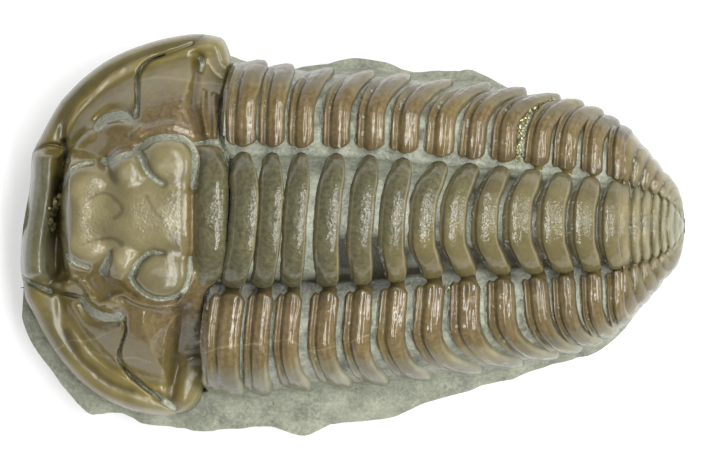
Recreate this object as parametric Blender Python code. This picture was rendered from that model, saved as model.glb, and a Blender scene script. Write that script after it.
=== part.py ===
"""A fossil trilobite lying prone on its piece of grey mudstone.

The body lies along X with its head at -X, and the animal's right side at +Y. The stone rests on z = 0.
Lengths along the body, heights and half widths are measured on a straightened, even-sided animal. `place` then
gives it the slight skew and the bent axis that the rock has pressed into it.
"""

import math

import bmesh
import bpy
import numpy as np

MM = 0.001


def millimetres(*points):
    """Points or sizes given in millimetres, as an array in metres."""
    return np.array(points, float) * MM


# Driving dimensions.
HEAD_HALF_WIDTH = 8.64 * MM
TAIL_TIP_X = 15.25 * MM
TAIL_FRONT_X = 12.35 * MM
RIM_Z = 2.9 * MM  # the lowest edge of the head shield
GAP = 0.27 * MM  # kept between the head shield's underside and the stone
REAR_GAP = 0.35 * MM  # added to it under the head's rear edge, where the stone rises steeply
HEAD_THICKNESS = 1.1 * MM  # the least depth from the head's surface to the stone under it
SUTURE_GAP = 0.10 * MM  # kept between a free cheek and the head shield

# The body's own axis in plan, and how far the animal is skewed along it, as (x, value).
AXIS_LINE = millimetres((-15, 0.73), (5, 0.73), (9, 0.62), (12.5, 0.46), (15.3, 0.42))
SKEW = ((-15, 0.065), (-5, 0.07), (4, 0.07), (7.5, 0.01), (15.3, 0.0))

# Half widths and heights along the thorax and tail, as (x, size).
AXIS_HALF = millimetres((-6, 3.05), (-1, 2.98), (4.5, 2.55), (9, 2.25), (12.0, 1.92), (13.5, 1.55), (14.6, 0.95), (15.25, 0))
RIGHT_EDGE = millimetres(
    (-6, 7.45), (-4.4, 7.35), (0.8, 6.75), (3.5, 6.4), (6.7, 6.15), (9.9, 5.7), (11.6, 5.1),
    (12.8, 4.25), (13.7, 3.3), (14.3, 2.55), (14.8, 1.75), (15.1, 1.0), (15.25, 0),
)  # fmt: skip
LEFT_EDGE = millimetres(
    (-6, 8.1), (-4.4, 8.1), (-1, 7.8), (2.5, 7.55), (4.6, 7.25), (6.7, 6.9), (8.3, 6.5), (10, 6.0), (11.6, 5.3),
    (12.8, 4.3), (13.7, 3.3), (14.3, 2.55), (14.8, 1.75), (15.1, 1.0), (15.25, 0),
)  # fmt: skip
CREST_Z = millimetres(
    (-6, 9.25), (-3, 9.6), (0, 9.7), (3, 9.5), (6, 8.85), (9, 7.75), (11, 6.8), (12.5, 5.95),
    (13.7, 5.0), (14.5, 4.1), (15.0, 3.2), (15.25, 2.2),
)  # fmt: skip
EDGE_Z = millimetres((-6, 3.0), (0, 2.9), (8, 2.6), (12.5, 2.35), (15.25, 2.15))

# Where each thoracic segment crosses the axis, the flat inner flank and its tip.
SEGMENTS = millimetres(
    (-5.18, -5.45, -5.05), (-4.01, -4.10, -3.75), (-2.82, -2.76, -1.80), (-1.18, -1.15, 0.05), (0.35, 0.43, 1.75),
    (1.82, 2.00, 3.75), (3.28, 3.64, 5.80), (4.65, 5.24, 7.55), (6.20, 6.80, 9.20), (7.69, 8.42, 10.25),
    (9.17, 9.66, 11.15), (10.59, 10.90, 11.90), (11.80, 12.00, 12.50),
)  # fmt: skip

# Places across the body, from 0 on the axis to 1 at a segment's tip.
FURROW_T = 0.40
FLANK_T = 0.60
AXIS_TURN = math.radians(76)  # how far the axial arch has turned where it meets the furrow
FURROW_SHARE = 0.69  # the axial furrow's height, as a share of the crest's height over the edge
STONE_SHARE = 0.93  # the stone's core under the shell, as a share of the arch's size
SHELL_SHARE = 0.945  # the shell's underside, likewise

# The head in plan, one side of it, as (distance from the axis, x).
HEAD_FRONT = millimetres(
    (0, -15.0), (1.4, -15.03), (2.75, -15.0), (3.56, -14.82), (4.34, -14.59), (5.0, -14.2), (5.58, -13.77),
    (6.35, -13.04), (7.0, -12.26), (7.6, -11.35), (8.0, -10.57), (8.36, -9.6), (8.58, -8.7), (8.64, -7.9),
)  # fmt: skip
HEAD_REAR = millimetres(
    (0, -5.74), (2.4, -5.8), (2.95, -6.15), (3.5, -6.42), (4.6, -6.5), (5.5, -6.45), (6.6, -6.3), (7.4, -6.18),
    (8.0, -6.4), (8.45, -6.95), (8.64, -7.9),
)  # fmt: skip
# The head's height over its border and cheek, by the distance in from its outer edge.
CHEEK_RISE = millimetres(
    (0, 2.95), (0.2, 3.7), (0.5, 4.05), (0.8, 3.9), (1.1, 3.75), (1.6, 4.5), (2.6, 6.1), (3.6, 7.15), (4.6, 7.6), (6, 7.75), (9, 7.8)
)
STONE_RISE = millimetres((0, 2.35), (1.1, 2.4), (2.0, 3.1), (3, 4.6), (4, 5.7), (5.5, 6.3), (9, 6.5))
GLABELLA_CREST = millimetres(
    (-13.5, 4.2), (-13.1, 5.6), (-12.7, 6.9), (-12.0, 8.0), (-11, 8.55), (-9.5, 8.95), (-8.2, 9.15), (-7.7, 9.0),
    (-7.42, 8.55), (-7.1, 8.95), (-6.6, 9.3), (-6.1, 9.25), (-5.7, 9.0),
)  # fmt: skip
GLABELLA_HALF = millimetres(
    (-13.5, 1.7), (-13.0, 2.0), (-12.2, 2.35), (-11, 2.5), (-9.5, 2.3), (-8, 2.4), (-7.4, 2.7), (-6.9, 3.0), (-5.7, 3.05)
)
# Side lobes of the glabella and the eye's lobe, as (x, distance from the axis, radius along x, radius across, height).
LOBES = millimetres(
    (-8.62, 2.42, 1.10, 1.15, 8.75), (-10.4, 2.25, 0.62, 0.65, 8.45), (-11.6, 2.0, 0.6, 0.55, 8.2), (-10.95, 4.15, 1.25, 0.85, 8.15)
)
# The facial suture on one side, from the front border out to the cheek's corner, as (x, distance from the axis).
SUTURE = millimetres(
    (-15.6, 3.15), (-13.6, 3.2), (-13.0, 3.95), (-12.3, 4.45), (-11.6, 4.9), (-10.6, 5.0), (-10.1, 4.95), (-9.95, 5.6),
    (-10.05, 6.4), (-9.75, 7.1), (-9.0, 7.6), (-8.0, 8.05), (-7.2, 8.5), (-6.9, 9.4),
)  # fmt: skip

# The stone's edge on each side of the axis, and the levels that its shelf and sides have.
STONE_LEFT = millimetres(
    (-15.1, 3.6), (-14.9, 4.7), (-14.4, 5.7), (-13.3, 7.1), (-12.4, 8.2), (-11.3, 9.0), (-10.2, 8.9), (-9.0, 9.4),
    (-7.8, 9.55), (-6.2, 9.75), (-3.2, 9.55), (-1.6, 9.95), (-0.1, 9.4), (2.4, 9.2), (4.1, 8.4), (6.3, 7.7), (8.8, 6.8),
    (11.1, 5.95), (12.3, 5.0), (13.3, 3.7), (14.2, 2.5), (14.75, 1.5),
)  # fmt: skip
STONE_RIGHT = millimetres(
    (-15.1, 2.8), (-14.0, 4.6), (-13.0, 5.9), (-11.5, 7.0), (-9.5, 7.8), (-7.8, 8.0), (-6.2, 7.5), (-4.0, 6.9),
    (-1.9, 7.1), (-0.6, 7.4), (1.0, 7.2), (2.6, 6.8), (4.6, 6.95), (5.8, 6.6), (7.2, 6.0), (9, 5.4), (11, 4.8),
    (12.5, 3.9), (13.6, 2.9), (14.3, 2.1), (14.75, 1.4),
)  # fmt: skip
SHELF_Z = 1.75 * MM
SHELF_DROP = 0.25 * MM  # how far the shelf starts below the shell's edge
FOOT_SHARE = 0.80  # the flat foot's half width, as a share of the stone's
FOOT_Z = 0.0
STONE_FRONT_X = -14.95 * MM
STONE_REAR_X = 14.6 * MM

# Mesh steps, kept few because the fine surface is made afterwards.
ACROSS_STEPS = 24
HEAD_COLUMNS = 40
HEAD_ROWS = 18
HEAD_UNDER_ROWS = 6
TAIL_ROWS = 9
STONE_ROWS = 25

SHELL_COLOUR = (0.24, 0.15, 0.06)
RING_COLOUR = (0.14, 0.11, 0.07)
STONE_COLOUR = (0.36, 0.38, 0.33)


def curve_through(points):
    """A smooth function through the points that never overshoots them."""
    xs, ys = np.asarray(points, float).T
    widths = np.diff(xs)
    slopes = np.diff(ys) / widths
    product = slopes[:-1] * slopes[1:]
    total = slopes[:-1] + slopes[1:]
    inner = np.where(product > 0, 2 * product / np.where(total == 0, 1, total), 0)
    tangents = np.concatenate([slopes[:1], inner, slopes[-1:]])

    def value(x):
        x = np.clip(x, xs[0], xs[-1])
        i = np.clip(np.searchsorted(xs, x, side="right") - 1, 0, len(widths) - 1)
        u = (x - xs[i]) / widths[i]
        rise = ys[i + 1] - ys[i]
        start, end = tangents[i] * widths[i], tangents[i + 1] * widths[i]
        return ys[i] + u * (start + u * (3 * rise - 2 * start - end + u * (start + end - 2 * rise)))

    return value


axis_line = curve_through(AXIS_LINE)
skew = curve_through([(x * MM, value) for x, value in SKEW])
axis_half = curve_through(AXIS_HALF)
right_edge = curve_through(RIGHT_EDGE)
left_edge = curve_through(LEFT_EDGE)
crest_z = curve_through(CREST_Z)
edge_z = curve_through(EDGE_Z)
head_front = curve_through(HEAD_FRONT)
head_rear = curve_through(HEAD_REAR)
cheek_rise = curve_through(CHEEK_RISE)
stone_rise = curve_through(STONE_RISE)
glabella_crest = curve_through(GLABELLA_CREST)
glabella_half = curve_through(GLABELLA_HALF)
stone_left = curve_through(STONE_LEFT)
stone_right = curve_through(STONE_RIGHT)


def place(x, y, z):
    """A point of the straightened animal, skewed and set on its axis as it lies in the rock."""
    x, y, z = np.broadcast_arrays(x, y, z)
    return np.stack([x + skew(x) * y, y + axis_line(x), z], axis=-1)


def arch(t, x, share=1.0):
    """The rounded back at x: y and z on the line t across it, for the whole arch or one drawn in to a share of it."""
    t, x = np.broadcast_arrays(np.asarray(t, float), np.asarray(x, float))
    across = np.abs(t)
    edge = np.where(t > 0, right_edge(x), left_edge(x))
    low = edge_z(x)
    rise = crest_z(x) - low
    half, furrow = axis_half(x), rise * FURROW_SHARE
    turn = np.minimum(across / FURROW_T, 1) * AXIS_TURN
    lobe_y = half * np.sin(turn) / math.sin(AXIS_TURN)
    lobe_z = furrow + (rise - furrow) * (np.cos(turn) - math.cos(AXIS_TURN)) / (1 - math.cos(AXIS_TURN))
    b = np.clip((across - FURROW_T) / (1 - FURROW_T), 0, 1)
    flank = edge - half
    weights = ((1 - b) ** 3, 3 * b * (1 - b) ** 2, 3 * b * b * (1 - b), b**3)
    flank_y = sum(w * v for w, v in zip(weights, (half, half + 0.5 * flank, half + 0.97 * flank, edge)))
    flank_z = sum(w * v for w, v in zip(weights, (furrow, 1.2 * furrow, 0.95 * furrow, 0 * furrow)))
    on_axis = across <= FURROW_T
    y = np.sign(t) * np.where(on_axis, lobe_y, flank_y)
    z = np.where(on_axis, lobe_z, flank_z)
    return y * share, low + z * share


def back_point(t, x, out, share=1.0):
    """The point on line t at x, raised by out square to the arch."""
    step = 0.01
    y, z = arch(t, x, share)
    y1, z1 = arch(np.clip(t + step, -1, 1), x, share)
    y0, z0 = arch(np.clip(t - step, -1, 1), x, share)
    dy, dz = y1 - y0, z1 - z0
    length = np.maximum(np.hypot(dy, dz), 1e-9)
    return x, y - out * dz / length, z + out * dy / length


def drawn_in(x, share):
    """x, drawn in towards the front of the tail, so that an inner layer also ends short of the tail's tip."""
    return np.where(x > TAIL_FRONT_X, TAIL_FRONT_X + (x - TAIL_FRONT_X) * share**2, x)


def core_share(x):
    """The stone core's share of the arch: a little less next to the head and in the tail, whose shells curve more."""
    by_head = 1 - smooth_step(-5.8 * MM, -4.2 * MM, x)
    in_tail = smooth_step(12 * MM, 13 * MM, x)
    return STONE_SHARE - 0.05 * by_head - 0.025 * in_tail


def distance_to(path, x, y):
    """How far each point (x, y) is from a path of straight lines."""
    x, y = np.broadcast_arrays(x, y)
    shape = np.shape(x)
    points = np.stack([np.ravel(x), np.ravel(y)], axis=-1)[:, None]
    starts, ends = path[:-1][None], path[1:][None]
    along = ends - starts
    share = ((points - starts) * along).sum(-1) / (along**2).sum(-1)
    nearest = starts + np.clip(share, 0, 1)[..., None] * along
    return np.sqrt(((points - nearest) ** 2).sum(-1)).min(1).reshape(shape)


def head_edge_path():
    """The head's outer edge on one side, as closely set points."""
    y = HEAD_HALF_WIDTH * np.sin(np.linspace(0, math.pi / 2, 60))
    return np.stack([head_front(y), y], axis=-1)


HEAD_EDGE_PATH = head_edge_path()


def dome(x, y, lobe):
    """A rounded lobe's height, falling away below the surface outside it."""
    cx, cy, rx, ry, top = lobe
    radius = ((x - cx) / rx) ** 2 + ((y - cy) / ry) ** 2
    return top - 0.55 * MM * radius**1.5


def head_height(x, y):
    """The head shield's upper surface."""
    y = np.abs(y)
    cheek = cheek_rise(distance_to(HEAD_EDGE_PATH, x, y))
    across = y / glabella_half(x)
    drop = 1.35 * MM * across**2.6
    middle = np.where(x > -13.5 * MM, glabella_crest(x) - drop, 0)
    return np.maximum.reduce([cheek, middle] + [dome(x, y, lobe) for lobe in LOBES])


def stone_height(x, y):
    """The top of the stone under the head shield."""
    return stone_rise(distance_to(HEAD_EDGE_PATH, x, np.abs(y)))


def loft(name, loops, colour, roughness):
    """A solid skinned over a row of closed loops that have the same number of points, with flat ends."""
    mesh = bpy.data.meshes.new(name)
    bm = bmesh.new()
    rings = []
    for loop in loops:
        verts = [bm.verts.new(point) for point in loop]
        rings.append([bm.edges.new((a, b)) for a, b in zip(verts, verts[1:] + verts[:1])])
    for first, second in zip(rings, rings[1:]):
        bmesh.ops.bridge_loops(bm, edges=first + second)
    bmesh.ops.holes_fill(bm, edges=rings[0] + rings[-1], sides=0)
    bmesh.ops.triangulate(bm, faces=bm.faces[:])
    bmesh.ops.recalc_face_normals(bm, faces=bm.faces[:])
    bm.to_mesh(mesh)
    bm.free()
    mesh.shade_smooth()
    mesh.set_sharp_from_angle(angle=math.radians(50))
    solid = bpy.data.objects.new(name, mesh)
    mesh.materials.append(material(name + " finish", colour, roughness))
    return solid


def material(name, colour, roughness):
    finish = bpy.data.materials.new(name)
    finish.use_nodes = True
    shader = finish.node_tree.nodes["Principled BSDF"]
    shader.inputs["Base Color"].default_value = (*colour, 1)
    shader.inputs["Roughness"].default_value = roughness
    shader.inputs["Metallic"].default_value = 0
    return finish


def segment_line(number, t):
    """x of a segment's middle on each line t across the body. Numbers past the ends run on evenly."""
    last = len(SEGMENTS) - 1
    inside = min(max(number, 0), last)
    ring, flank, tip = SEGMENTS[inside]
    if number != inside:
        step = SEGMENTS[inside] - SEGMENTS[inside - 1 if number > last else inside + 1]
        ring, flank, tip = SEGMENTS[inside] + step
    path = curve_through([(0, ring), (0.24, ring + 0.08 * (flank - ring)), (FLANK_T, flank), (1, tip)])
    return path(np.abs(t))


def segment_profile(t):
    """A segment's cross-section on line t: (place between front and back edge, height) down the middle of the list."""
    on_ring = 1 - smooth_step(0.34, 0.46, abs(t))
    places = np.array([-1.0, -0.72, -0.35, 0.05, 0.62, 1.0])
    ring = np.array([-0.22, 0.05, 0.14, 0.18, 0.16, -0.20]) * MM
    flank = np.array([-0.20, 0.10, -0.12, 0.14, 0.22, -0.18]) * MM
    return places, ring * on_ring + flank * (1 - on_ring)


def smooth_step(low, high, value):
    u = np.clip((value - low) / (high - low), 0, 1)
    return u * u * (3 - 2 * u)


def across_lines():
    """The lines t across the back, closer together round the furrows and the tips."""
    half = np.array([0, 0.1, 0.2, 0.3, 0.38, 0.44, 0.54, 0.66, 0.78, 0.9, 1.0])
    return np.concatenate([-half[:0:-1], half])


def thoracic_segment(number):
    loops = []
    for t in across_lines():
        middle = segment_line(number, t)
        before = middle - segment_line(number - 1, t)
        after = segment_line(number + 1, t) - middle
        tip = 1 - 0.62 * smooth_step(0.88, 1.0, abs(t))
        width = 0.42 - 0.03 * (1 - smooth_step(0.3, 0.5, abs(t))) + 0.03 * smooth_step(0.6, 0.9, abs(t))
        front, back = middle - width * before * tip, middle + width * after * tip
        places, heights = segment_profile(t)
        x = front + (back - front) * (places + 1) / 2
        top = place(*back_point(t, x, heights * (1 - 0.5 * smooth_step(0.9, 1, abs(t)))))
        under_x = np.array([back, front])
        under_y, under_z = arch(t, under_x, SHELL_SHARE)
        loops.append(np.concatenate([top, place(under_x, under_y, under_z)]))
    return loft(f"body_segment_{number + 1:02d}", loops, SHELL_COLOUR, 0.25)


def tail_relief(t, x):
    """Ring bands on the tail's axis and ribs on its flanks, fading towards the tip."""
    share = (x - TAIL_FRONT_X) / (TAIL_TIP_X - TAIL_FRONT_X)
    fade = 1 - smooth_step(0.45, 0.85, share)
    bands = 0.14 * MM * np.cos(2 * math.pi * share * 6)
    ribs = 0.13 * MM * np.cos(2 * math.pi * (share * 5 - 1.3 * (np.abs(t) - FURROW_T)))
    return fade * np.where(np.abs(t) < FURROW_T, bands, ribs)


def tail_shield():
    front_t = across_lines()
    loops = []
    for share in 1 - np.cos(np.linspace(0.28, 0.5, TAIL_ROWS + 1) * math.pi) / math.cos(0.28 * math.pi):
        front = segment_line(len(SEGMENTS) - 1, front_t) + 0.42 * (segment_line(len(SEGMENTS), front_t) - segment_line(len(SEGMENTS) - 1, front_t))
        front = front + 0.09 * MM
        tip = TAIL_TIP_X - 0.012 * MM
        x = front + (tip - front) * share
        top = place(*back_point(front_t, x, tail_relief(front_t, x)))
        under_x = drawn_in(x, SHELL_SHARE)[::-2]
        under_y, under_z = arch(front_t[::-2], x[::-2], SHELL_SHARE)
        loops.append(np.concatenate([top, place(under_x, under_y, under_z)]))
    return loft("tail_shield", loops, SHELL_COLOUR, 0.28)


def head_solid():
    """The whole head, cheeks included, before the sutures part it."""
    loops = []
    for turn in np.linspace(-0.985, 0.985, HEAD_COLUMNS + 1):
        y = HEAD_HALF_WIDTH * math.sin(turn * math.pi / 2)
        front, rear = head_front(abs(y)), head_rear(abs(y))
        v = np.linspace(0, 1, HEAD_ROWS + 1)
        x = front + (rear - front) * v**1.25
        top = place(x, y, head_height(x, y))
        under_x = front + (rear - front) * np.linspace(0.93, 0.07, HEAD_UNDER_ROWS + 1)
        rear_gap = REAR_GAP * smooth_step(-8.2 * MM, -7.2 * MM, under_x)
        under = place(under_x, y, stone_top(under_x, y) + GAP + rear_gap)
        loops.append(np.concatenate([top, under]))
    return loft("whole_head", loops, SHELL_COLOUR, 0.28)


def stone_top(x, y):
    """The stone's upper surface anywhere under the shell: the head's mound runs into the body's arch."""
    lines = np.linspace(-1, 1, 161)
    x, y = np.broadcast_arrays(np.asarray(x, float), np.asarray(y, float))
    body = np.empty(x.shape)
    for i, (px, py) in enumerate(zip(x.ravel(), y.ravel())):
        ys, zs = arch(lines, px, core_share(px))
        body.flat[i] = np.interp(py, ys, zs)
    blend = smooth_step(-7.0 * MM, -6.2 * MM, x)
    top = stone_height(x, y) * (1 - blend) + body * blend
    return np.minimum(top, np.maximum(head_height(x, y) - HEAD_THICKNESS, 2.3 * MM))


def outline_prism(name, outline):
    """An upright block over a plan outline, used to part the head."""
    curve = bpy.data.curves.new(name, "CURVE")
    curve.dimensions = "2D"
    curve.fill_mode = "BOTH"
    curve.extrude = 10 * MM
    spline = curve.splines.new("POLY")
    spline.points.add(len(outline) - 1)
    for point, (x, y) in zip(spline.points, outline):
        point.co = (x, y, 0, 1)
    spline.use_cyclic_u = True
    guide = bpy.data.objects.new(name, curve)
    bpy.context.scene.collection.objects.link(guide)
    mesh = bpy.data.meshes.new_from_object(guide.evaluated_get(bpy.context.evaluated_depsgraph_get()))
    bpy.data.objects.remove(guide)
    bm = bmesh.new()
    bm.from_mesh(mesh)
    bmesh.ops.remove_doubles(bm, verts=bm.verts[:], dist=1e-7)
    bmesh.ops.recalc_face_normals(bm, faces=bm.faces[:])
    bm.to_mesh(mesh)
    bm.free()
    block = bpy.data.objects.new(name, mesh)
    block.hide_render = True
    block.display_type = "WIRE"
    return block


def suture_path(side, shift):
    """The suture on one side in the rock's plan, moved sideways by shift."""
    x, y = SUTURE.T
    points = np.stack([x, y], axis=-1)
    along = np.gradient(points, axis=0)
    along /= np.linalg.norm(along, axis=1)[:, None]
    square = np.stack([-along[:, 1], along[:, 0]], axis=-1)
    x, y = (points + shift * square).T
    return place(x, side * y, 0)[:, :2]


def head_outlines():
    """Plan outlines of the three pieces of the head."""
    far = 12 * MM
    back = -4 * MM
    half = SUTURE_GAP / 2
    right, left = suture_path(1, -half), suture_path(-1, -half)
    middle = np.concatenate([right, [(back, far), (back, -far)], left[::-1]])
    outlines = {"head_shield": middle}
    for name, side in (("right_cheek", 1), ("left_cheek", -1)):
        inner = suture_path(side, half)
        corners = [(inner[-1][0], side * far), (-far * 1.5, side * far)]
        outlines[name] = np.concatenate([inner, corners])
    return outlines


def head_pieces(guides):
    """The head shield and the two free cheeks: the whole head, kept inside each outline."""
    whole = head_solid()
    bpy.context.scene.collection.objects.link(whole)
    pieces = []
    for name, outline in head_outlines().items():
        block = outline_prism(name + " outline", outline)
        guides.objects.link(block)
        cut = whole.modifiers.new("keep", "BOOLEAN")
        cut.operation = "INTERSECT"
        cut.object = block
        mesh = bpy.data.meshes.new_from_object(whole.evaluated_get(bpy.context.evaluated_depsgraph_get()))
        whole.modifiers.remove(cut)
        mesh.name = name
        pieces.append(bpy.data.objects.new(name, mesh))
        block.data.materials.clear()
    bpy.data.objects.remove(whole)
    return pieces


def stone():
    """The stone: a mound that fills the shell, a broken shelf round it, and a flat foot."""
    lines = across_lines()
    front_rows = STONE_FRONT_X + (-6.4 * MM - STONE_FRONT_X) * np.linspace(0, 1, 13) ** 1.2
    body_rows = np.linspace(-5.8 * MM, 12.2 * MM, STONE_ROWS - 12)
    tail_rows = TAIL_FRONT_X + (STONE_REAR_X - TAIL_FRONT_X) * np.sin(np.linspace(0.12, 0.5, 7) * math.pi)
    loops = []
    for x in np.concatenate([front_rows, body_rows, tail_rows]):
        on_head = 1 - smooth_step(-7.2 * MM, -5.8 * MM, x)
        head_y = HEAD_HALF_WIDTH * 0.93 * np.sin(lines * math.pi / 2)
        half_there = np.interp(x, HEAD_EDGE_PATH[:, 0], HEAD_EDGE_PATH[:, 1]) if x < -8 * MM else HEAD_HALF_WIDTH
        head_y = head_y * max(half_there, 2.5 * MM) / HEAD_HALF_WIDTH
        inner = TAIL_FRONT_X + (x - TAIL_FRONT_X) / STONE_SHARE**2 if x > TAIL_FRONT_X else x
        body_y, body_z = arch(lines, inner, core_share(x))
        y = head_y * on_head + body_y * (1 - on_head)
        z = stone_top(np.full_like(y, x), y) if x < -5.8 * MM else body_z
        left, right = stone_left(x), stone_right(x)
        shelf_z = min(z[0], z[-1]) - SHELF_DROP
        skirt_right = [(right, min(shelf_z, z[-1]) - 0.3 * MM), (right * 0.985, SHELF_Z * 0.45), (right * FOOT_SHARE, FOOT_Z)]
        skirt_left = [(-left * FOOT_SHARE, FOOT_Z), (-left * 0.985, SHELF_Z * 0.45), (-left, min(shelf_z, z[0]) - 0.3 * MM)]
        foot = [(right * 0.3, FOOT_Z), (-left * 0.3, FOOT_Z)]
        outer = np.array(skirt_right + foot + skirt_left)
        loops.append(np.concatenate([place(x, y, z), place(x, outer[:, 0], outer[:, 1])]))
    return loft("matrix", loops, STONE_COLOUR, 0.85)


def clear_scene():
    for item in list(bpy.data.objects):
        bpy.data.objects.remove(item, do_unlink=True)


def main():
    clear_scene()
    model = bpy.data.collections.new("fossil trilobite")
    guides = bpy.data.collections.new("outlines")
    bpy.context.scene.collection.children.link(model)
    bpy.context.scene.collection.children.link(guides)
    pieces = [stone(), *head_pieces(guides)]
    pieces += [thoracic_segment(number) for number in range(len(SEGMENTS))]
    pieces.append(tail_shield())
    for piece in pieces:
        model.objects.link(piece)


main()
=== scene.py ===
"""Looks for a prone trilobite fossil: fine shell plates, mudstone between them, pyrite grains and a stage.

Plan positions are read on a survey grid of 0.0458 mm squares, counted rearwards from ahead of the head and
then towards the animal's left. `frame_x` and `frame_y` turn them into the model's own frame, which runs
from the head at -X to the tail at +X, with the animal's right side at +Y. Sizes in the functions below are
millimetres until a piece is finished.
"""

import functools
import math

import bmesh
import bpy
import numpy as np
from bpy.props import FloatProperty, FloatVectorProperty, IntProperty, PointerProperty
from mathutils import Euler, Matrix, Vector


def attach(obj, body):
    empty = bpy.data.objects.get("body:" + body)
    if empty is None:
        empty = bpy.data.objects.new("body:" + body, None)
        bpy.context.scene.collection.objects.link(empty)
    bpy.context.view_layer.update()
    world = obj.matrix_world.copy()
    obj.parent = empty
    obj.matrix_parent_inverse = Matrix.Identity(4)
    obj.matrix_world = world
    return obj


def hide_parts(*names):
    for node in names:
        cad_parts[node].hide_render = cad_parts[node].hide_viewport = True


bl_info = {
    "name": "Trilobite fossil",
    "version": (1, 0, 0),
    "blender": (4, 5, 0),
    "location": "3D View > Sidebar > Fossil",
    "description": "Builds the shell plates, mudstone and pyrite of a prone trilobite fossil",
    "category": "Add Mesh",
}

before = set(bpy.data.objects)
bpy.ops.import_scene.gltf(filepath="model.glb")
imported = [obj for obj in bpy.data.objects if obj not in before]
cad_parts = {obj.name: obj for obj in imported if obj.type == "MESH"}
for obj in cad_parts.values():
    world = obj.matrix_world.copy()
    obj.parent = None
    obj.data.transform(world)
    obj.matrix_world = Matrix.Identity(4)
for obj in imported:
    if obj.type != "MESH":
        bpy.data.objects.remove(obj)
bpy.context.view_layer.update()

MM = 0.001
GRID = 0.0458  # mm to one survey square
GRID_ORIGIN = (353, 235)  # the frame's origin on the grid
HEAD_MIDDLE = 217  # the row of the head's middle line
VIEW_CENTRE = (354, 236)  # what the camera looks down on
VIEW_WIDTH = 708  # squares across the picture
WELD = 0.0005  # mm
SHARP_ANGLE = math.radians(60)  # edges that turn by more than this are shaded sharp

LACQUER_IOR = 1.50
WET_ROUGHNESS = 0.115  # shell under thick lacquer
WORN_ROUGHNESS = 0.42  # shell under thin lacquer
LACQUER_ROUGHNESS = 0.15  # lacquered stone
STONE_ROUGHNESS = 0.75  # bare stone

# The body in mm. These repeat the solids' own values, each against x along the body.
TAIL_TIP_X = 15.25
AXIS_LINE = ((-15, 0.73), (5, 0.73), (9, 0.62), (12.5, 0.46), (15.3, 0.42))
SKEW = ((-15, 0.065), (-5, 0.07), (4, 0.07), (7.5, 0.01), (15.3, 0.0))
AXIS_HALF = (
    (-6, 3.05), (-1, 2.98), (4.5, 2.55), (9, 2.25), (12.0, 1.92), (13.5, 1.55), (14.6, 0.95), (15.25, 0),
)
RIGHT_EDGE = (
    (-6, 7.35), (-4.4, 7.2), (-2.6, 6.95), (0.8, 6.75), (3.5, 6.4), (6.7, 6.15), (9.9, 5.7), (11.6, 5.1),
    (12.8, 4.25), (13.7, 3.3), (14.3, 2.55), (14.8, 1.75), (15.1, 1.0), (15.25, 0),
)
LEFT_EDGE = (
    (-6, 8.1), (-4.4, 8.1), (-1, 7.8), (2.5, 7.55), (4.6, 7.25), (6.7, 6.9), (8.3, 6.5), (10, 6.0),
    (11.6, 5.3), (12.8, 4.3), (13.7, 3.3), (14.3, 2.55), (14.8, 1.75), (15.1, 1.0), (15.25, 0),
)
CREST_Z = (
    (-6, 9.25), (-3, 9.6), (0, 9.7), (3, 9.5), (6, 8.85), (9, 7.75), (11, 6.8), (12.5, 5.95), (13.7, 5.0),
    (14.5, 4.1), (15.0, 3.2), (15.25, 2.2),
)
EDGE_Z = ((-6, 3.0), (0, 2.9), (8, 2.6), (12.5, 2.35), (15.25, 2.15))
# Lines across the body run from t = -1 at the left edge, over 0 on the axis, to 1 at the right edge.
FURROW_T = 0.40
FLANK_T = 0.60
AXIS_TURN = math.radians(76)  # how far the axial lobe has turned down at the furrow
FURROW_SHARE = 0.69  # how high the furrow lies between the edge and the crest

# Thoracic segments: x on the axis, on the inner flank and at the tip, then half the length of ring and rib.
SEGMENTS = (
    (-5.10, -5.47, -5.07, 0.68, 0.78), (-3.86, -4.10, -3.75, 0.62, 0.71), (-2.64, -2.76, -1.80, 0.61, 0.70),
    (-1.10, -1.15, 0.05, 0.66, 0.76), (0.42, 0.43, 1.75, 0.66, 0.76), (1.90, 2.00, 3.75, 0.66, 0.77),
    (3.38, 3.64, 5.80, 0.72, 0.79), (4.78, 5.24, 7.55, 0.72, 0.78), (6.27, 6.80, 9.20, 0.70, 0.74),
    (7.75, 8.42, 10.25, 0.74, 0.70), (9.20, 9.66, 11.15, 0.76, 0.66), (10.59, 10.90, 11.90, 0.70, 0.60),
    (11.80, 12.00, 12.50, 0.56, 0.50),
)

# Head outlines on the survey grid. R is the animal's right, L its left.
MARGIN_R = (
    (24, 217), (26, 205), (28, 192), (29.5, 178), (30, 165), (31, 154), (35, 145), (40, 136), (50, 117),
    (60, 101), (70, 90), (80, 80), (100, 64), (120, 53), (140, 45), (160, 39), (180, 35), (192, 33.5),
    (203, 33.5), (213, 35), (222, 38), (227, 46), (230, 57),
)
MARGIN_L = (
    (24, 217), (21.5, 233), (20, 248), (19.5, 262), (20, 273), (22, 283), (24, 297), (28, 306), (32, 313),
    (40, 330), (52, 350), (65, 367), (80, 383), (98, 397), (115, 405), (135, 412), (150, 415), (165, 416),
    (177, 415), (188, 412), (197, 405), (202, 395), (205, 385),
)
SUTURE_R = (
    (31, 154), (38, 148), (48, 145), (57, 147), (62, 145), (66, 137), (71, 132), (79, 131), (88, 130),
    (97, 127), (107, 123.5), (118, 122), (128, 122), (133, 116), (136, 108), (137.5, 96), (137, 84),
    (137, 75), (141, 67), (149, 60), (162, 55), (180, 49), (194, 43), (203, 33.5),
)
SUTURE_L = (
    (22, 283), (31, 284), (41, 286), (51, 291), (61, 293), (71, 296), (81, 299), (88, 302), (95, 308),
    (104, 312), (112, 311), (118, 314), (123, 321), (125, 330), (123, 340), (119, 350), (118.5, 360),
    (125, 370), (138, 382), (151, 392), (162, 402), (177, 415),
)
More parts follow.
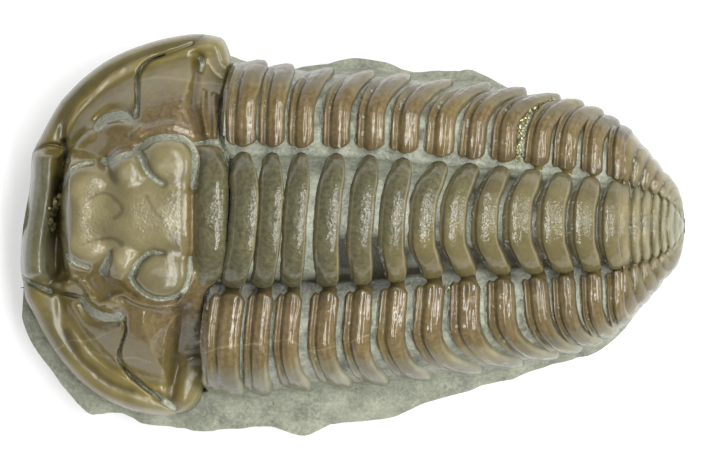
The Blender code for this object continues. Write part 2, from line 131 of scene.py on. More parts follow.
REAR_R = (
    (230, 217), (230.5, 195), (231, 178), (230, 165), (226, 153), (221, 141), (219.5, 122), (221, 102),
    (225, 84), (229, 68), (230, 57), (227, 46), (222, 38), (213, 35), (203, 33.5),
)
REAR_L = (
    (230, 217), (229, 240), (229, 258), (226, 272), (217, 282), (207, 290), (203.5, 300), (204, 320),
    (206, 340), (207, 362), (205, 385), (202, 395), (197, 405), (188, 412), (177, 415),
)
# The head's front and rear edges on its middle line.
FRONT_COLUMN, REAR_COLUMN = 24, 230
# How far back along the head's middle line the rows have come, by their share of the suture's length.
MIDDLE_ROWS = ((0, FRONT_COLUMN), (0.5, 118), (0.7, 175), (1, REAR_COLUMN))
SIDE_PULL = 1.5  # how late across the shield a row takes on the suture's shape, so that no rows cross

# Stone edges in mm, as (x, distance from the axis).
STONE_LEFT = (
    (-15.1, 3.6), (-14.9, 4.7), (-14.4, 5.7), (-13.3, 7.1), (-12.4, 8.2), (-11.3, 9.0), (-10.2, 8.9),
    (-9.0, 9.4), (-7.8, 9.55), (-6.2, 9.75), (-3.2, 9.55), (-1.6, 9.95), (-0.1, 9.4), (2.4, 9.2), (4.1, 8.4),
    (6.3, 7.7), (8.8, 6.8), (11.1, 5.95), (12.3, 5.0), (13.3, 3.7), (14.2, 2.5), (14.75, 1.5),
)
STONE_RIGHT = (
    (-15.1, 2.8), (-14.0, 4.6), (-13.0, 5.9), (-11.5, 7.0), (-9.5, 7.8), (-7.8, 8.0), (-6.2, 7.5),
    (-4.0, 6.9), (-1.9, 7.1), (-0.6, 7.4), (1.0, 7.2), (2.6, 6.8), (4.6, 6.95), (5.8, 6.6), (7.2, 6.0),
    (9, 5.4), (11, 4.8), (12.5, 3.9), (13.6, 2.9), (14.3, 2.1), (14.75, 1.4),
)


def rgb(hex_colour):
    """An sRGB hex colour as the linear values and alpha that a shader takes."""
    values = [int(hex_colour[i : i + 2], 16) / 255 for i in (1, 3, 5)]
    return (*[v / 12.92 if v <= 0.04045 else ((v + 0.055) / 1.055) ** 2.4 for v in values], 1)


def part_way(low, high, value):
    """How far the value has come from low to high, from 0 to 1. High may be the smaller number."""
    return np.clip((value - low) / (high - low), 0, 1)


def rise(low, high, value):
    """0 at low and 1 at high, with a smooth rise between them."""
    u = part_way(low, high, value)
    return u * u * (3 - 2 * u)


def fall(low, high, value):
    """1 at low and 0 at high."""
    return 1 - rise(low, high, value)


def ridge(value, centre, width):
    """1 at the centre, and less on both sides, like a bell."""
    return np.exp(-(((value - centre) / width) ** 2))


def highest(*layers):
    """The highest of several layers at each point."""
    return functools.reduce(np.maximum, layers)


def curve_through(points):
    """A smooth function through the points that never overshoots them."""
    xs, ys = np.asarray(points, float).T
    widths = np.diff(xs)
    slopes = np.diff(ys) / widths
    product = slopes[:-1] * slopes[1:]
    total = slopes[:-1] + slopes[1:]
    inner = np.where(product > 0, 2 * product / np.where(total == 0, 1, total), 0)
    tangents = np.concatenate([slopes[:1], inner, slopes[-1:]])

    def value(x):
        x = np.clip(x, xs[0], xs[-1])
        i = np.clip(np.searchsorted(xs, x, side="right") - 1, 0, len(widths) - 1)
        u = (x - xs[i]) / widths[i]
        climb = ys[i + 1] - ys[i]
        start, end = tangents[i] * widths[i], tangents[i + 1] * widths[i]
        return ys[i] + u * (start + u * (3 * climb - 2 * start - end + u * (start + end - 2 * climb)))

    return value


axis_line = curve_through(AXIS_LINE)
skew = curve_through(SKEW)
axis_half = curve_through(AXIS_HALF)
right_edge = curve_through(RIGHT_EDGE)
left_edge = curve_through(LEFT_EDGE)
crest_z = curve_through(CREST_Z)
edge_z = curve_through(EDGE_Z)
stone_left = curve_through(STONE_LEFT)
stone_right = curve_through(STONE_RIGHT)


def frame_x(column):
    """x in mm of a survey column."""
    return (column - GRID_ORIGIN[0]) * GRID


def frame_y(row):
    """y in mm of a survey row."""
    return (GRID_ORIGIN[1] - row) * GRID


def survey(x, y):
    """Survey column and row of a place given in mm in the frame."""
    return x / GRID + GRID_ORIGIN[0], GRID_ORIGIN[1] - y / GRID


def place(x, y):
    """Frame x and y of a point of the straightened animal."""
    return x + skew(x) * y, y + axis_line(x)


def smooth_path(points, steps=6):
    """A Catmull-Rom curve through the points."""
    p = np.asarray(points, float)
    p = np.concatenate([2 * p[:1] - p[1:2], p, 2 * p[-1:] - p[-2:-1]])
    u = np.linspace(0, 1, steps, endpoint=False)[:, None]
    parts = []
    for a, b, c, d in zip(p, p[1:], p[2:], p[3:]):
        square, cube = 2 * a - 5 * b + 4 * c - d, 3 * b - a - 3 * c + d
        parts.append(0.5 * (2 * b + (c - a) * u + square * u**2 + cube * u**3))
    return np.concatenate(parts + [p[-2:-1]])


def walk(points):
    """A function that gives the point at each share of a smooth path's length."""
    path = smooth_path(points, 12)
    lengths = np.concatenate([[0], np.cumsum(np.linalg.norm(np.diff(path, axis=0), axis=1))])
    shares = lengths / lengths[-1]
    return lambda s: np.stack([np.interp(s, shares, path[:, 0]), np.interp(s, shares, path[:, 1])], axis=-1)


def near(path, x, y):
    """Distance to a path of straight lines, and the share of its length at which it is nearest."""
    path = np.asarray(path, float)
    best = np.full(np.shape(x), np.inf)
    share = np.zeros(np.shape(x))
    lengths = np.linalg.norm(np.diff(path, axis=0), axis=1)
    done, total = 0.0, lengths.sum()
    for (ax, ay), (bx, by), length in zip(path[:-1], path[1:], lengths):
        dx, dy = bx - ax, by - ay
        u = np.clip(((x - ax) * dx + (y - ay) * dy) / max(length * length, 1e-12), 0, 1)
        away = np.hypot(x - ax - u * dx, y - ay - u * dy)
        closer = away < best
        best = np.where(closer, away, best)
        share = np.where(closer, (done + u * length) / total, share)
        done += length
    return best, share


def noise(points, cell, seed):
    """Smooth lattice noise from -1 to 1 on (n, 3) points, both in mm."""
    size = 32
    table = np.random.default_rng(seed).random((size, size, size))
    q = np.asarray(points) / cell + 101.3
    low = np.floor(q).astype(int)
    f = q - low
    f = f * f * (3 - 2 * f)
    total = 0
    for corner in range(8):
        step = np.array([corner & 1, corner >> 1 & 1, corner >> 2])
        weight = np.prod(np.where(step, f, 1 - f), axis=-1)
        i, j, k = ((low + step) % size).T
        total = total + weight * table[i, j, k]
    return 2 * total - 1


def arch(t, x):
    """y and z in mm of the rounded back at x, on the line t across it."""
    across = np.abs(t)
    edge = np.where(t > 0, right_edge(x), left_edge(x))
    low = edge_z(x)
    relief = crest_z(x) - low
    half, furrow = axis_half(x), relief * FURROW_SHARE
    turn = np.minimum(across / FURROW_T, 1) * AXIS_TURN
    lobe_y = half * np.sin(turn) / math.sin(AXIS_TURN)
    lobe_z = furrow + (relief - furrow) * (np.cos(turn) - math.cos(AXIS_TURN)) / (1 - math.cos(AXIS_TURN))
    b = part_way(FURROW_T, 1, across)
    flank = edge - half
    # Each flank is a Bezier curve from the furrow to the edge.
    weights = ((1 - b) ** 3, 3 * b * (1 - b) ** 2, 3 * b * b * (1 - b), b**3)
    flank_y = sum(w * v for w, v in zip(weights, (half, half + 0.5 * flank, half + 0.97 * flank, edge)))
    flank_z = sum(w * v for w, v in zip(weights, (furrow, 1.2 * furrow, 0.95 * furrow, 0 * furrow)))
    on_axis = across <= FURROW_T
    y = np.sign(t) * np.where(on_axis, lobe_y, flank_y)
    z = np.where(on_axis, lobe_z, flank_z)
    return y, low + z


def raised(t, x, out):
    """The point on line t at x, raised by out square to the arch, in the frame."""
    step = 0.01
    y, z = arch(t, x)
    y1, z1 = arch(np.clip(t + step, -1, 1), x)
    y0, z0 = arch(np.clip(t - step, -1, 1), x)
    dy, dz = y1 - y0, z1 - z0
    length = np.maximum(np.hypot(dy, dz), 1e-6)
    px, py = place(x, y - out * dz / length)
    return np.stack([px, py, z + out * dy / length], axis=-1)


def soft_max(values, sharpness=9.0):
    """The highest of several surfaces, with their meetings rounded."""
    top = np.maximum.reduce(values)
    return top + np.log(sum(np.exp(sharpness * (v - top)) for v in values)) / sharpness


# The furrow inside the head's right border, which is hollow and painted with shade.
BORDER_FURROW_R = (
    (62, 139), (61, 122), (69, 106), (83, 91), (101, 76), (120, 65), (140, 55.5), (165, 47), (192, 41),
    (203, 36),
)
# Marks on the survey grid. Each is (path, half width at its start, half width at its end) in squares.
STONE_FILLS = (
    (((126, 156), (135, 152), (145, 145), (155, 139.5), (166, 137.5), (180, 138.5), (190, 143),
      (195.5, 152), (197, 166), (195.5, 187)), 3.0, 3.4),
    (((138, 152), (143, 160), (147, 169), (153, 177), (164, 184)), 4.0, 2.4),
    (((61, 187), (66, 178), (73, 170), (82, 165.5), (94, 163)), 3.0, 1.6),
    (((107, 162), (114, 160), (122, 156), (130, 153)), 4.4, 1.8),
    (((98, 127), (104, 121), (112, 116.5), (122, 116), (130, 121)), 5.2, 4.6),
    (((196, 144), (208, 142), (219, 144), (226, 150), (229, 158)), 2.2, 3.6),
    (((227, 152), (230, 166), (231, 182)), 1.8, 0.8),
    (((200, 58), (202, 64), (201, 70)), 2.6, 2.0),
    (((222, 100), (220, 122), (220, 142)), 1.2, 2.0),
    (((63, 141), (65, 150), (68, 161)), 0.8, 2.2),
    (((68, 256), (76, 262), (89, 268)), 2.6, 2.4),
    (((112, 251), (109, 261), (105, 270)), 1.0, 5.6),
    (((132, 276), (137, 286), (146, 294), (158, 298.5), (171, 298), (183, 291), (190, 278),
      (191, 258)), 2.4, 2.2),
    (((132, 276), (137, 265), (145, 257), (154, 252), (164, 253)), 3.2, 1.6),
    (((83, 300), (90, 310), (101, 316), (113, 318), (120, 316)), 4.0, 5.0),
    (((66, 294), (76, 296), (85, 300)), 1.0, 1.6),
    (((205, 337), (209, 352), (209, 370), (206, 388)), 2.0, 2.2),
    (((157, 396), (165, 402), (174, 408)), 3.0, 3.2),
    (((125, 322), (126, 332), (121, 345), (119, 358), (126, 371), (140, 384), (157, 397)), 0.7, 1.4),
    (((137, 116), (137.5, 100), (137, 84), (138, 73), (148, 61), (164, 54.5)), 2.4, 0.5),
    (((22, 276), (30, 282), (40, 288), (50, 292)), 1.2, 2.4),
)
# Painted shade along the head's furrows and grooves. The first of these is the gap behind the front rim.
FURROW_SHADE_LINES = (
    (((56, 178), (54.5, 205), (54, 225), (55, 250), (57, 268), (50, 286)), 3.6, 3.6),
    (BORDER_FURROW_R, 6.0, 4.0),
    (((66, 335), (78, 358), (90, 369), (103, 380), (118, 387), (132, 391)), 6.0, 3.6),
    (((197, 62), (195, 84), (193, 104), (197, 122), (202, 140)), 4.6, 1.6),
    (((183, 309), (181, 330), (178, 350), (174, 375), (171, 397)), 6.4, 5.0),
    (((114, 170), (116, 180)), 3.0, 2.0),
    (((132, 112), (136, 96), (135, 78)), 3.0, 1.8),
    (((196, 150), (206, 157), (199, 173)), 4.0, 4.0),
    (((142, 156), (149, 170), (158, 180)), 1.6, 1.2),
    (((136, 274), (141, 265), (150, 257)), 1.6, 1.2),
    (((200, 160), (213, 155), (224, 160)), 2.0, 2.0),
)
DARK_ARCS = (
    (((91, 199), (99, 195), (108, 194), (117, 199), (123, 207), (122, 214), (116, 218)), 0.8, 2.0),
    (((84, 245), (94, 241), (106, 238), (116, 239), (124, 244)), 0.6, 2.6),
    (((148, 197), (154, 209), (163, 219), (173, 233), (180, 247)), 1.4, 0.8),
)
# Hairline cracks, healed with pale calcite.
CRACKS = (
    ((180, 353), (204, 353), (221, 347), (259, 343), (290, 340), (309, 351), (330, 347), (352, 341),
      (371, 334)),
    ((50, 351), (60, 347), (70, 341), (85, 341), (98, 337), (110, 332), (121, 328)),
    ((140, 81), (152, 78), (166, 77), (180, 79), (198, 82), (226, 84)),
    ((180, 313), (171, 322), (166, 334), (164, 352), (163, 372), (160, 388)),
    ((92, 352), (104, 357), (118, 358), (136, 358), (150, 362)),
    ((66, 138), (71, 118), (80, 105), (92, 93.5), (110, 75), (132, 62), (152, 55.5)),
)
CRACK_MARKS = [(path, 0.35, 0.35) for path in CRACKS]
# Soft dark patches of the head: (strength, column, row, half length, half width). The first is painted shade
# on the rear wall of the left posterior border furrow; the others darken the cheeks, the lower lobe and the
# occipital ring.
DARK_PATCHES = (
    (0.30, 189, 335, 10, 50), (0.16, 164, 275, 34, 34), (0.20, 130, 350, 60, 40), (0.16, 125, 95, 50, 40),
    (0.22, 213, 217, 14, 70),
)
# Raised lines and hollows of the head: (path, half width in squares, height in mm).
HEAD_RELIEF = (
    (BORDER_FURROW_R, 5.0, -0.10),
    (((60, 300), (60, 322), (66, 338), (78, 358), (90, 369), (103, 380), (118, 388), (136, 394),
      (156, 400)), 6.0, -0.12),
    (((70, 322), (80, 345), (92, 358), (108, 370), (124, 379), (140, 387)), 5.0, 0.05),
    (((67, 135), (74, 116), (92, 94), (110, 75), (130, 62.5), (150, 55.5)), 4.0, 0.05),
    (((197, 56), (195, 84), (193, 104), (197, 122), (202, 140)), 5.5, -0.34),
    (((184, 309), (181, 330), (178, 350), (174, 375), (171, 400)), 7.5, -0.34),
    (((101, 128), (110, 126), (120, 125), (129, 126)), 6.5, 0.42),
    (((92, 300), (100, 303), (110, 304), (116, 303)), 7.0, 0.42),
    (((97, 121), (104, 114), (113, 109.5), (124, 110), (132, 117)), 5.5, -0.34),
    (((82, 305), (90, 317), (102, 323), (116, 323)), 6.0, -0.34),
    (((140, 136), (150, 130.5), (162, 127), (176, 126), (190, 131)), 5.5, 0.26),
    (((114, 296), (124, 294), (135, 300), (150, 305), (165, 306.5), (178, 304), (184, 296)), 3.2, 0.50),
    (((76, 148), (82, 140), (90, 134)), 6.5, 0.34),
    (((133, 134), (141, 128)), 4.0, 0.26),
    (((68, 281), (78, 279), (86, 286), (91, 296)), 4.0, 0.34),
    (((60, 274), (68, 264)), 4.0, 0.30),
    (((64, 296), (84, 299)), 3.0, 0.20),
    (((99, 305), (113, 299)), 3.5, 0.22),
    (((112, 276), (124, 282), (131, 290)), 3.5, 0.20),
    (((137, 115), (137.5, 100), (137, 84), (138, 73), (148, 61), (164, 54.5), (192, 44)), 2.4, -0.16),
    (((125, 318), (126, 332), (121, 345), (119, 358), (126, 371), (140, 384), (160, 400)), 2.6, -0.16),
    (((181, 98), (188, 116), (196, 138)), 1.8, 0.10),
    (((189, 92), (194, 112), (200, 136)), 1.6, 0.10),
    (((204, 92), (204, 114), (207, 134)), 3.0, 0.22),
    (((214, 96), (215, 118), (215, 136)), 3.4, 0.26),
    (((206, 298), (208, 318), (210, 338)), 2.2, 0.12),
    (((63, 141), (65, 150), (68, 161)), 2.4, -0.22),
    (((31, 154), (40, 147), (50, 144), (60, 146)), 2.0, -0.22),
    (((22, 283), (40, 286), (60, 293), (84, 299)), 2.2, -0.24),
)
# Lobes of the glabella, as (column, row, half length, half width, height in mm, drop at the edge in mm).
LOBES = (
    (170, 167, 25, 25.5, 8.86, 0.42), (164, 272, 25, 23, 8.80, 0.34), (130, 174, 17, 19, 8.66, 0.42),
    (125, 260, 16, 17, 8.64, 0.42), (90, 192, 27, 24, 8.30, 0.45), (89, 243, 27, 22, 8.30, 0.45),
)
# Height of the glabella's middle line and half its width, against the column.
GLABELLA_CREST = curve_through((
    (56, 3.8), (60, 4.6), (63, 6.0), (66, 7.2), (70, 7.95), (75, 8.28), (83, 8.38), (92, 8.36), (100, 8.42),
    (118, 8.72), (135, 8.95), (150, 9.0), (165, 9.02), (180, 8.96), (188, 8.78), (192, 8.6), (197, 8.3),
))
GLABELLA_HALF = curve_through((
    (56, 24), (62, 32), (68, 38), (80, 44), (110, 45), (150, 44), (175, 50), (197, 60),
))
# Height of the cheeks and of the front rim against the distance in mm from the head's margin.
RISE_RIGHT = curve_through((
    (0, 2.95), (0.1, 3.45), (0.3, 3.84), (0.55, 3.99), (0.8, 3.97), (1.0, 3.98), (1.3, 4.32), (1.7, 5.0),
    (2.3, 5.95), (3.1, 6.85), (4.1, 7.42), (5, 7.66), (9, 7.75),
))
RISE_LEFT = curve_through((
    (0, 2.95), (0.1, 3.4), (0.3, 3.78), (0.65, 4.0), (1.0, 4.04), (1.3, 4.03), (1.6, 4.25), (2.0, 4.85),
    (2.6, 5.75), (3.4, 6.7), (4.4, 7.35), (5.5, 7.64), (9, 7.75),
))
RISE_FRONT = curve_through((
    (0, 2.95), (0.1, 3.7), (0.3, 4.4), (0.6, 4.8), (0.9, 4.9), (1.15, 4.6), (1.35, 4.0), (1.6, 3.7),
    (1.9, 4.0), (2.4, 5.4), (3.2, 6.7), (4.2, 7.2), (9, 7.4),
))
HEAD_MARGIN = np.concatenate([smooth_path(MARGIN_L)[::-1], smooth_path(MARGIN_R)[1:]])


def head_height(column, row):
    """Height in mm of the head's upper surface."""
    away = near(HEAD_MARGIN, column, row)[0] * GRID
    left = rise(190, 250, row)
    front = rise(148, 158, row) * fall(272, 284, row) * fall(64, 76, column)
    cheek = RISE_RIGHT(away) * (1 - left) + RISE_LEFT(away) * left
    cheek = cheek * (1 - front) + RISE_FRONT(away) * front
    across = np.abs(row - HEAD_MIDDLE) / GLABELLA_HALF(column)
    surfaces = [cheek, np.maximum(GLABELLA_CREST(column) - across**2.6, 0)]
    front_fall = 5.0 * fall(56, 72, column)
    for cx, cy, rx, ry, top, drop in LOBES:
        radius = np.hypot((column - cx) / rx, (row - cy) / ry)
        surfaces.append(np.maximum(top - drop * radius**3.2 - front_fall, 0))
    ring_across = np.abs(row - HEAD_MIDDLE) / np.where(row < HEAD_MIDDLE, 67, 66)
    ring_along = np.abs(column - 213.5 + 4 * ring_across**3) / 16.5
    ring = 9.2 - 1.5 * ring_across**2.6 - 0.42 * ring_along**3
    surfaces.append(np.where(column > 190, np.maximum(ring, 0), 0))
    z = soft_max(surfaces)
    for path, width, height in HEAD_RELIEF:
        distance = near(smooth_path(path, 3), column, row)[0]
        z = z + height * np.exp(-((distance / width) ** 2) * 1.3)
    furrows = np.zeros_like(z)
    for path, start, end in STONE_FILLS:
        distance, share = near(smooth_path(path, 3), column, row)
        width = start + (end - start) * share
        furrows = np.maximum(furrows, ridge(distance, 0, width * 1.35))
    return z - 0.30 * furrows


def line_mask(marks, column, row, softness=1.0):
    """1 on the marks and 0 away from them, with soft edges."""
    mask = np.zeros(np.shape(column))
    low_x, high_x = np.min(column) - 12, np.max(column) + 12
    low_y, high_y = np.min(row) - 12, np.max(row) + 12
    for path, start, end in marks:
        xs, ys = np.asarray(path, float).T
        if xs.max() < low_x or xs.min() > high_x or ys.max() < low_y or ys.min() > high_y:
            continue
        distance, share = near(smooth_path(path, 4), column, row)
        width = start + (end - start) * share
        mask = np.maximum(mask, fall(-softness, softness, distance - width))
    return mask


def spot(column, row, cx, cy, rx, ry):
    """A soft round patch."""
    return np.exp(-(((column - cx) / rx) ** 2) - ((row - cy) / ry) ** 2)


def new_mesh(name, bm):
    """A mesh made from a bmesh, which is freed."""
    mesh = bpy.data.meshes.new(name)
    bm.to_mesh(mesh)
    bm.free()
    return mesh


def new_object(name, data):
    """An object in the scene."""
    made = bpy.data.objects.new(name, data)
    bpy.context.scene.collection.objects.link(made)
    return made


def grid_mesh(name, columns, rows):
    """A flat grid mesh and its own u and v, each from -1 to 1, ready to be shaped."""
    bm = bmesh.new()
    bmesh.ops.create_grid(bm, x_segments=columns, y_segments=rows, size=1)
    mesh = new_mesh(name, bm)
    co = np.empty(len(mesh.vertices) * 3, np.float32)
    mesh.vertices.foreach_get("co", co)
    return mesh, co[0::3].astype(float), co[1::3].astype(float)


def close_ring(points, u, w):
    """Brings a grid's last row onto its first, and each of its two ends to a point."""
    points[w > 0.999] = points[w < -0.999]
    for end in (u < -0.999, u > 0.999):
        points[end] = points[end].mean(axis=0)


def shape_mesh(mesh, points, cover, accent, polish=1.0):
    """Moves a grid's points, given in mm, and stores its masks and how polished each point is."""
    mesh.vertices.foreach_set("co", (points * MM).astype(np.float32).ravel())
    for name, masks in (("cover", cover), ("accent", accent)):
        values = np.clip(np.stack(masks, axis=-1), 0, 1).astype(np.float32)
        mesh.attributes.new(name, "FLOAT_COLOR", "POINT").data.foreach_set("color", values.ravel())
    values = np.broadcast_to(np.clip(polish, 0, 1), len(points)).astype(np.float32)
    mesh.attributes.new("polish", "FLOAT", "POINT").data.foreach_set("value", values)
    mesh.update()


def finish_piece(mesh, node, material, close=True):
    """Puts a shaped mesh into the scene in the place of its node."""
    bm = bmesh.new()
    bm.from_mesh(mesh)
    bmesh.ops.remove_doubles(bm, verts=bm.verts[:], dist=WELD * MM)
    if close:
        bmesh.ops.holes_fill(bm, edges=[e for e in bm.edges if e.is_boundary], sides=0)
    bmesh.ops.recalc_face_normals(bm, faces=bm.faces[:])
    bm.to_mesh(mesh)
    bm.free()
    mesh.shade_smooth()
    mesh.set_sharp_from_angle(angle=SHARP_ANGLE)
    mesh.materials.append(material)
    piece = new_object(node + "_fine", mesh)
    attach(piece, "root")
    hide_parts(node)
    return piece


def add_node(tree, kind, inputs=None, **settings):
    """Adds a node. Each input is a value, an output, or a node that stands for its first output in use."""
    node = tree.nodes.new(kind)
    for name, value in settings.items():
        setattr(node, name, value)
    for key, value in (inputs or {}).items():
        if isinstance(value, bpy.types.Node):
            value = next(output for output in value.outputs if output.enabled)
        if isinstance(value, bpy.types.NodeSocket):
            tree.links.new(value, node.inputs[key])
        else:
            node.inputs[key].default_value = value
    return node


def new_material(name):
    """A material, its node tree and its shader."""
    material = bpy.data.materials.new(name)
    material.use_nodes = True
    return material, material.node_tree, material.node_tree.nodes["Principled BSDF"]


def material_once(name, make):
    """The material of that name, made at its first use."""
    return bpy.data.materials.get(name) or make(name, bpy.context.scene.fossil)


def toned(colour, factor):
    """A colour made lighter or darker, for a shader."""
    return (*[min(factor * value, 1) for value in colour], 1)


def grains(here, size, detail, roughness):
    """The inputs of a noise whose lumps have a given size in mm on the piece itself."""
    return {"Vector": here, "Scale": 1 / (size * MM), "Detail": detail, "Roughness": roughness}


def stone_layers(tree, here, stone):
    """The mudstone's colour: mottled in patches of a millimetre, with pale flecks of silt and dark grains."""
    colour = toned(stone, 1)
    # Silt is really under 0.06 mm and is drawn coarser, so that it shows.
    for size, detail, roughness, low, high, share, tone in (
        (1.1, 5, 0.6, 0.36, 0.66, 1, 1.55),
        (0.16, 3, 0.6, 0.42, 0.62, 0.35, 2.35),
        (0.24, 2, 0.5, 0.66, 0.74, 0.6, 0.40),
    ):
        grain = add_node(tree, "ShaderNodeTexNoise", grains(here, size, detail, roughness))
        inputs = {"Value": grain, "From Min": low, "From Max": high, "To Max": share}
        amount = add_node(tree, "ShaderNodeMapRange", inputs, interpolation_type="SMOOTHSTEP")
        inputs = {0: amount, 6: colour, 7: toned(stone, tone)}
        colour = add_node(tree, "ShaderNodeMix", inputs, data_type="RGBA")
    return colour


def mudstone_material(name, settings):
    """Mudstone, split by hand: fine grained and matt, and damp-looking where lacquer has run in."""
    material, tree, shader = new_material(name)
    here = add_node(tree, "ShaderNodeTexCoord").outputs["Object"]
    cover = add_node(tree, "ShaderNodeAttribute", attribute_name="cover")
    dark = add_node(tree, "ShaderNodeSeparateColor", {0: cover.outputs["Color"]}).outputs["Green"]
    colour = stone_layers(tree, here, settings.stone_colour)
    # Painted shade: the stone goes dark where the dark mask lies, in the gaps between the plates; on the
    # shelf the same mask is the stone's darker mottling.
    colour = add_node(tree, "ShaderNodeMix", {0: dark, 6: colour, 7: rgb("#26251A")}, data_type="RGBA")
    tree.links.new(colour.outputs[2], shader.inputs["Base Color"])
    inputs = {"Value": cover.outputs["Alpha"], "To Min": STONE_ROUGHNESS, "To Max": LACQUER_ROUGHNESS}
    rough = add_node(tree, "ShaderNodeMapRange", inputs)
    tree.links.new(rough.outputs[0], shader.inputs["Roughness"])
    # Its grit is really under 0.06 mm and is drawn coarser, so that it shows.
    grit = add_node(tree, "ShaderNodeTexNoise", grains(here, 0.11, 4, 0.65))
    lumps = add_node(tree, "ShaderNodeTexNoise", grains(here, 0.5, 3, 0.55))
    height = add_node(tree, "ShaderNodeMath", {0: grit, 1: 0.9, 2: lumps}, operation="MULTIPLY_ADD")
    bump = add_node(tree, "ShaderNodeBump", {"Height": height, "Strength": 0.9, "Distance": 0.07 * MM})
    tree.links.new(bump.outputs[0], shader.inputs["Normal"])
    return material


def shell_material(name, settings):
    """Calcite shell under clear lacquer: wet-looking browns, a grained crest, stone left in its furrows."""
    material, tree, shader = new_material(name)
    here = add_node(tree, "ShaderNodeTexCoord").outputs["Object"]
    cover = add_node(tree, "ShaderNodeAttribute", attribute_name="cover")
    accent = add_node(tree, "ShaderNodeAttribute", attribute_name="accent")
    fill, dark, olive = add_node(tree, "ShaderNodeSeparateColor", {0: cover.outputs["Color"]}).outputs
    warm, smoke, line = add_node(tree, "ShaderNodeSeparateColor", {0: accent.outputs["Color"]}).outputs
    pale, grain = cover.outputs["Alpha"], accent.outputs["Alpha"]
    # The crest's grain is really a few hundredths of a millimetre and is drawn coarser, so that it shows.
    sizes = ((1.6, 4, 0.55), (0.22, 3, 0.6), (0.17, 4, 0.65), (0.13, 2, 0.5), (0.6, 2, 0.5))
    noises = [add_node(tree, "ShaderNodeTexNoise", grains(here, *size)) for size in sizes]
    cloud, fleck, ragged, crinkle, swell = noises
    colour = toned(settings.shell_colour, 1)
    for mask, texture, tone, lighter in (
        (1, cloud, settings.shell_colour, 1.38),
        (warm, fleck, settings.flank_colour, 1.62),
        (olive, cloud, settings.ring_colour, 1.46),
        (smoke, fleck, settings.smoke_colour, 1.75),
        (pale, cloud, settings.tip_colour, 1.48),
    ):
        inputs = {"Value": texture, "From Min": 0.3, "From Max": 0.7}
        amount = add_node(tree, "ShaderNodeMapRange", inputs, interpolation_type="SMOOTHSTEP")
        inputs = {0: amount, 6: toned(tone, 1), 7: toned(tone, lighter)}
        tones = add_node(tree, "ShaderNodeMix", inputs, data_type="RGBA")
        colour = add_node(tree, "ShaderNodeMix", {0: mask, 6: colour, 7: tones}, data_type="RGBA")
    # Pale lines: the healed cracks, and painted highlights along the front and rear edges of the rings'
    # crests.
    colour = add_node(tree, "ShaderNodeMix", {0: line, 6: colour, 7: rgb("#A39672")}, data_type="RGBA")
    # Painted shade: the dark mask darkens the furrows, the gaps' edges and the outer facets, together with
    # the darker tones of the shell.
    shade = add_node(tree, "ShaderNodeMapRange", {"Value": dark, "To Max": 0.85})
    colour = add_node(tree, "ShaderNodeMix", {0: shade, 6: colour, 7: rgb("#221C12")}, data_type="RGBA")
    # The stone in the furrows ends in a ragged line.
    edge = add_node(tree, "ShaderNodeMath", {0: ragged, 1: 1.3, 2: fill}, operation="MULTIPLY_ADD")
    inputs = {"Value": edge, "From Min": 1.07, "From Max": 1.23}
    stone = add_node(tree, "ShaderNodeMapRange", inputs, interpolation_type="SMOOTHSTEP")
    stone_tones = stone_layers(tree, here, settings.stone_colour)
    colour = add_node(tree, "ShaderNodeMix", {0: stone, 6: colour, 7: stone_tones}, data_type="RGBA")
    tree.links.new(colour.outputs[2], shader.inputs["Base Color"])
    polish = add_node(tree, "ShaderNodeAttribute", attribute_name="polish").outputs["Fac"]
    inputs = {"Value": polish, "To Min": WORN_ROUGHNESS, "To Max": WET_ROUGHNESS}
    rough = add_node(tree, "ShaderNodeMapRange", inputs)
    tree.links.new(rough.outputs[0], shader.inputs["Roughness"])
    shader.inputs["IOR"].default_value = LACQUER_IOR
    gritty = add_node(tree, "ShaderNodeMath", {0: grain, 1: 0.9, 2: 0.15}, operation="MULTIPLY_ADD")
    gritty = add_node(tree, "ShaderNodeMath", {0: stone, 1: 2.6, 2: gritty}, operation="MULTIPLY_ADD")
    rugged = add_node(tree, "ShaderNodeMath", {0: crinkle, 1: gritty}, operation="MULTIPLY")
    height = add_node(tree, "ShaderNodeMath", {0: swell, 1: 0.5, 2: rugged}, operation="MULTIPLY_ADD")
    bump = add_node(tree, "ShaderNodeBump", {"Height": height, "Strength": 0.8, "Distance": 0.05 * MM})
    tree.links.new(bump.outputs[0], shader.inputs["Normal"])
    return material


def pyrite_material(name, settings):
    """Pyrite crystals, unpolished: pale brass metal, each face lit as one plane."""
    material, tree, shader = new_material(name)
    here = add_node(tree, "ShaderNodeTexCoord").outputs["Object"]
    tarnish = add_node(tree, "ShaderNodeTexNoise", grains(here, 0.15, 2, 0.5))
    inputs = {"Value": tarnish, "From Min": 0.35, "From Max": 0.65}
    amount = add_node(tree, "ShaderNodeMapRange", inputs, interpolation_type="SMOOTHSTEP")
    inputs = {0: amount, 6: toned(settings.pyrite_colour, 0.4), 7: toned(settings.pyrite_colour, 1)}
    colour = add_node(tree, "ShaderNodeMix", inputs, data_type="RGBA")
    tree.links.new(colour.outputs[2], shader.inputs["Base Color"])
    shader.inputs["Metallic"].default_value = 0.85
    shader.inputs["Roughness"].default_value = 0.35
    return material


def shell():
    """The shell's material."""
    return material_once("Lacquered calcite shell", shell_material)


